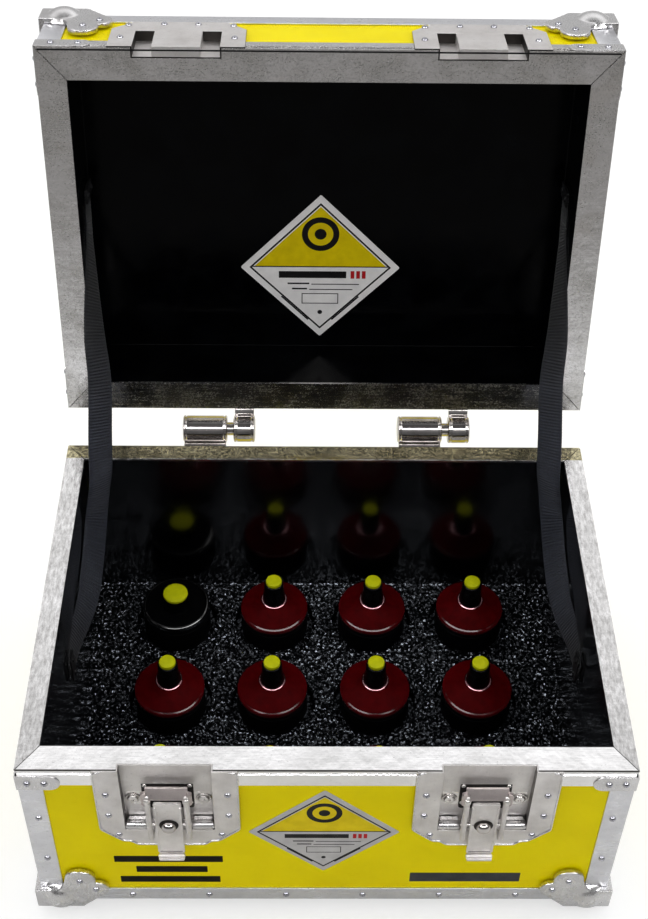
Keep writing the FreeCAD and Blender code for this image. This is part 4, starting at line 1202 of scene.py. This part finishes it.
def strap(side):
    """Slack webbing from the base wall up to the lid wall, ribbed across its width."""
    out = -1 if side == "left" else 1
    low, high = span("base_strap_ends")
    width = high.z - low.z
    thick = 1.5
    columns = 12
    path = strap_route(out)
    bm = bmesh.new()
    rows = []
    for i, point in enumerate(path):
        tangent = heading(path, i)
        angle = strap_turn(i / (len(path) - 1))
        across = tangent.cross(-out * RIGHT).normalized()
        across = Matrix.Rotation(angle * out, 3, tangent) @ across
        normal = tangent.cross(across).normalized()
        rib = 0.34 * math.sin(2 * math.pi * i * PITCH / RIB)
        row = []
        for face in (1, -1):
            for c in range(columns + 1):
                u = c / columns - 0.5
                edge = 1 - (abs(u) * 2) ** 8 * 0.6
                cup = -0.9 * (1 - (2 * u) ** 2) * math.sin(angle)
                rise = face * (thick / 2 + rib) * edge + cup
                row.append(bm.verts.new(point + across * (u * face * width) + normal * rise))
        rows.append(row)
    join_rings(bm, rows)
    bm.faces.new(rows[0])
    bm.faces.new(rows[-1])
    obj = piece("lid_strap_" + side, bm, [WEBBING], "base", ["base_strap_ends", "lid_strap_ends"],
                ride=False)
    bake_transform(obj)


def strap_anchors(half):
    """Riveted plates that clamp the strap ends."""
    node = half + "_strap_anchors"
    bm = bmesh.new()
    for low, high in boxes(node):
        thick = high.x - low.x
        out = -1 if low.x < 0 else 1
        wall = low.x if out < 0 else high.x
        slab(bm, low.y, high.y, low.z, high.z, 2.5,
             axes(BACK, UP, -out * RIGHT, (wall, 0, 0)), thick)
        for z in (low.z + 5, high.z - 5):
            spot = (wall - out * thick, (low.y + high.y) / 2, z)
            screw(bm, spot, -out * RIGHT, 2.8, 1.3)
    piece(half + "_strap_plates", bm, [RUBBER], half, [node], bevel=0.3)


# ---- camera, light and floor ----
def camera():
    data = bpy.data.cameras.new("view")
    data.sensor_fit = "AUTO"
    data.sensor_width = 36.0
    data.lens = 57.85
    data.shift_y = -0.0647
    data.clip_start = 0.01
    obj = bpy.data.objects.new("view", data)
    pitch = math.radians(90 - 43.35)
    yaw = math.radians(-1.04)
    roll = math.radians(1.02)
    obj.rotation_mode = "XYZ"
    turn = Matrix.Rotation(yaw, 4, "Z") @ Matrix.Rotation(pitch, 4, "X")
    turn = turn @ Matrix.Rotation(roll, 4, "Z")
    obj.matrix_world = Matrix.Translation((-0.0188, -0.7854, 1.1677)) @ turn
    bpy.context.scene.collection.objects.link(obj)
    bpy.context.scene.camera = obj


def studio():
    """White surround, brightest behind; reflections also see a bright band round the front."""
    bpy.context.scene.view_settings.view_transform = "Standard"
    world = bpy.data.worlds.new("studio")
    bpy.context.scene.world = world
    world.use_nodes = True
    tree = world.node_tree
    _, back, up = split(add(tree, "ShaderNodeTexCoord").outputs["Generated"])
    rays = add(tree, "ShaderNodeLightPath").outputs
    lit = remap(back, -0.5, 0.5, 0.62, 1.42)
    behind = remap(back, -0.1, 0.5, 0.3, 1.25)
    overhead = product(behind, remap(up, 0.78, 0.93, 1.0, 0.35),
                       remap(up, 0.3, 0.6, 0.42, 1.0))
    sill = maths("ADD", up, product(back, 0.27))
    band = product(remap(back, -0.04, -0.12), remap(sill, 0.5, 0.54),
                   remap(up, 0.82, 0.78), 9.0)
    mirrored = maths("ADD", overhead, band)
    direct = remap(rays["Is Glossy Ray"], 0, 1, 1, 0)
    shade = maths("ADD", product(mirrored, rays["Is Glossy Ray"]),
                  product(lit, direct))
    shade = maths("MAXIMUM", shade, rays["Is Camera Ray"])
    tree.links.new(shade, tree.nodes["Background"].inputs["Color"])

    mesh = bpy.data.meshes.new("studio_floor")
    mesh.from_pydata([(-6, -6, 0), (6, -6, 0), (6, 6, 0), (-6, 6, 0)], [], [(0, 1, 2, 3)])
    mesh.materials.append(pale_floor())
    floor = bpy.data.objects.new("studio_floor", mesh)
    bpy.context.scene.collection.objects.link(floor)


dress_cad()
lid_seal()
for half in ("base", "lid"):
    ball_corners(half)
    rivets(half + "_rivet_heads", half + "_rivets", half)
    rivets("hinge_" + half + "_screw_heads", "hinge_" + half + "_screws", half)
    strap_anchors(half)
for side in ("left", "right"):
    latch_lever(side)
    latch_hook(side)
    latch_fittings(side)
    dish_trim(side)
    side_handle(side)
    strap(side)
hinges()
handle_plates()
foam()
canisters()
labels()
markings()
camera()
studio()
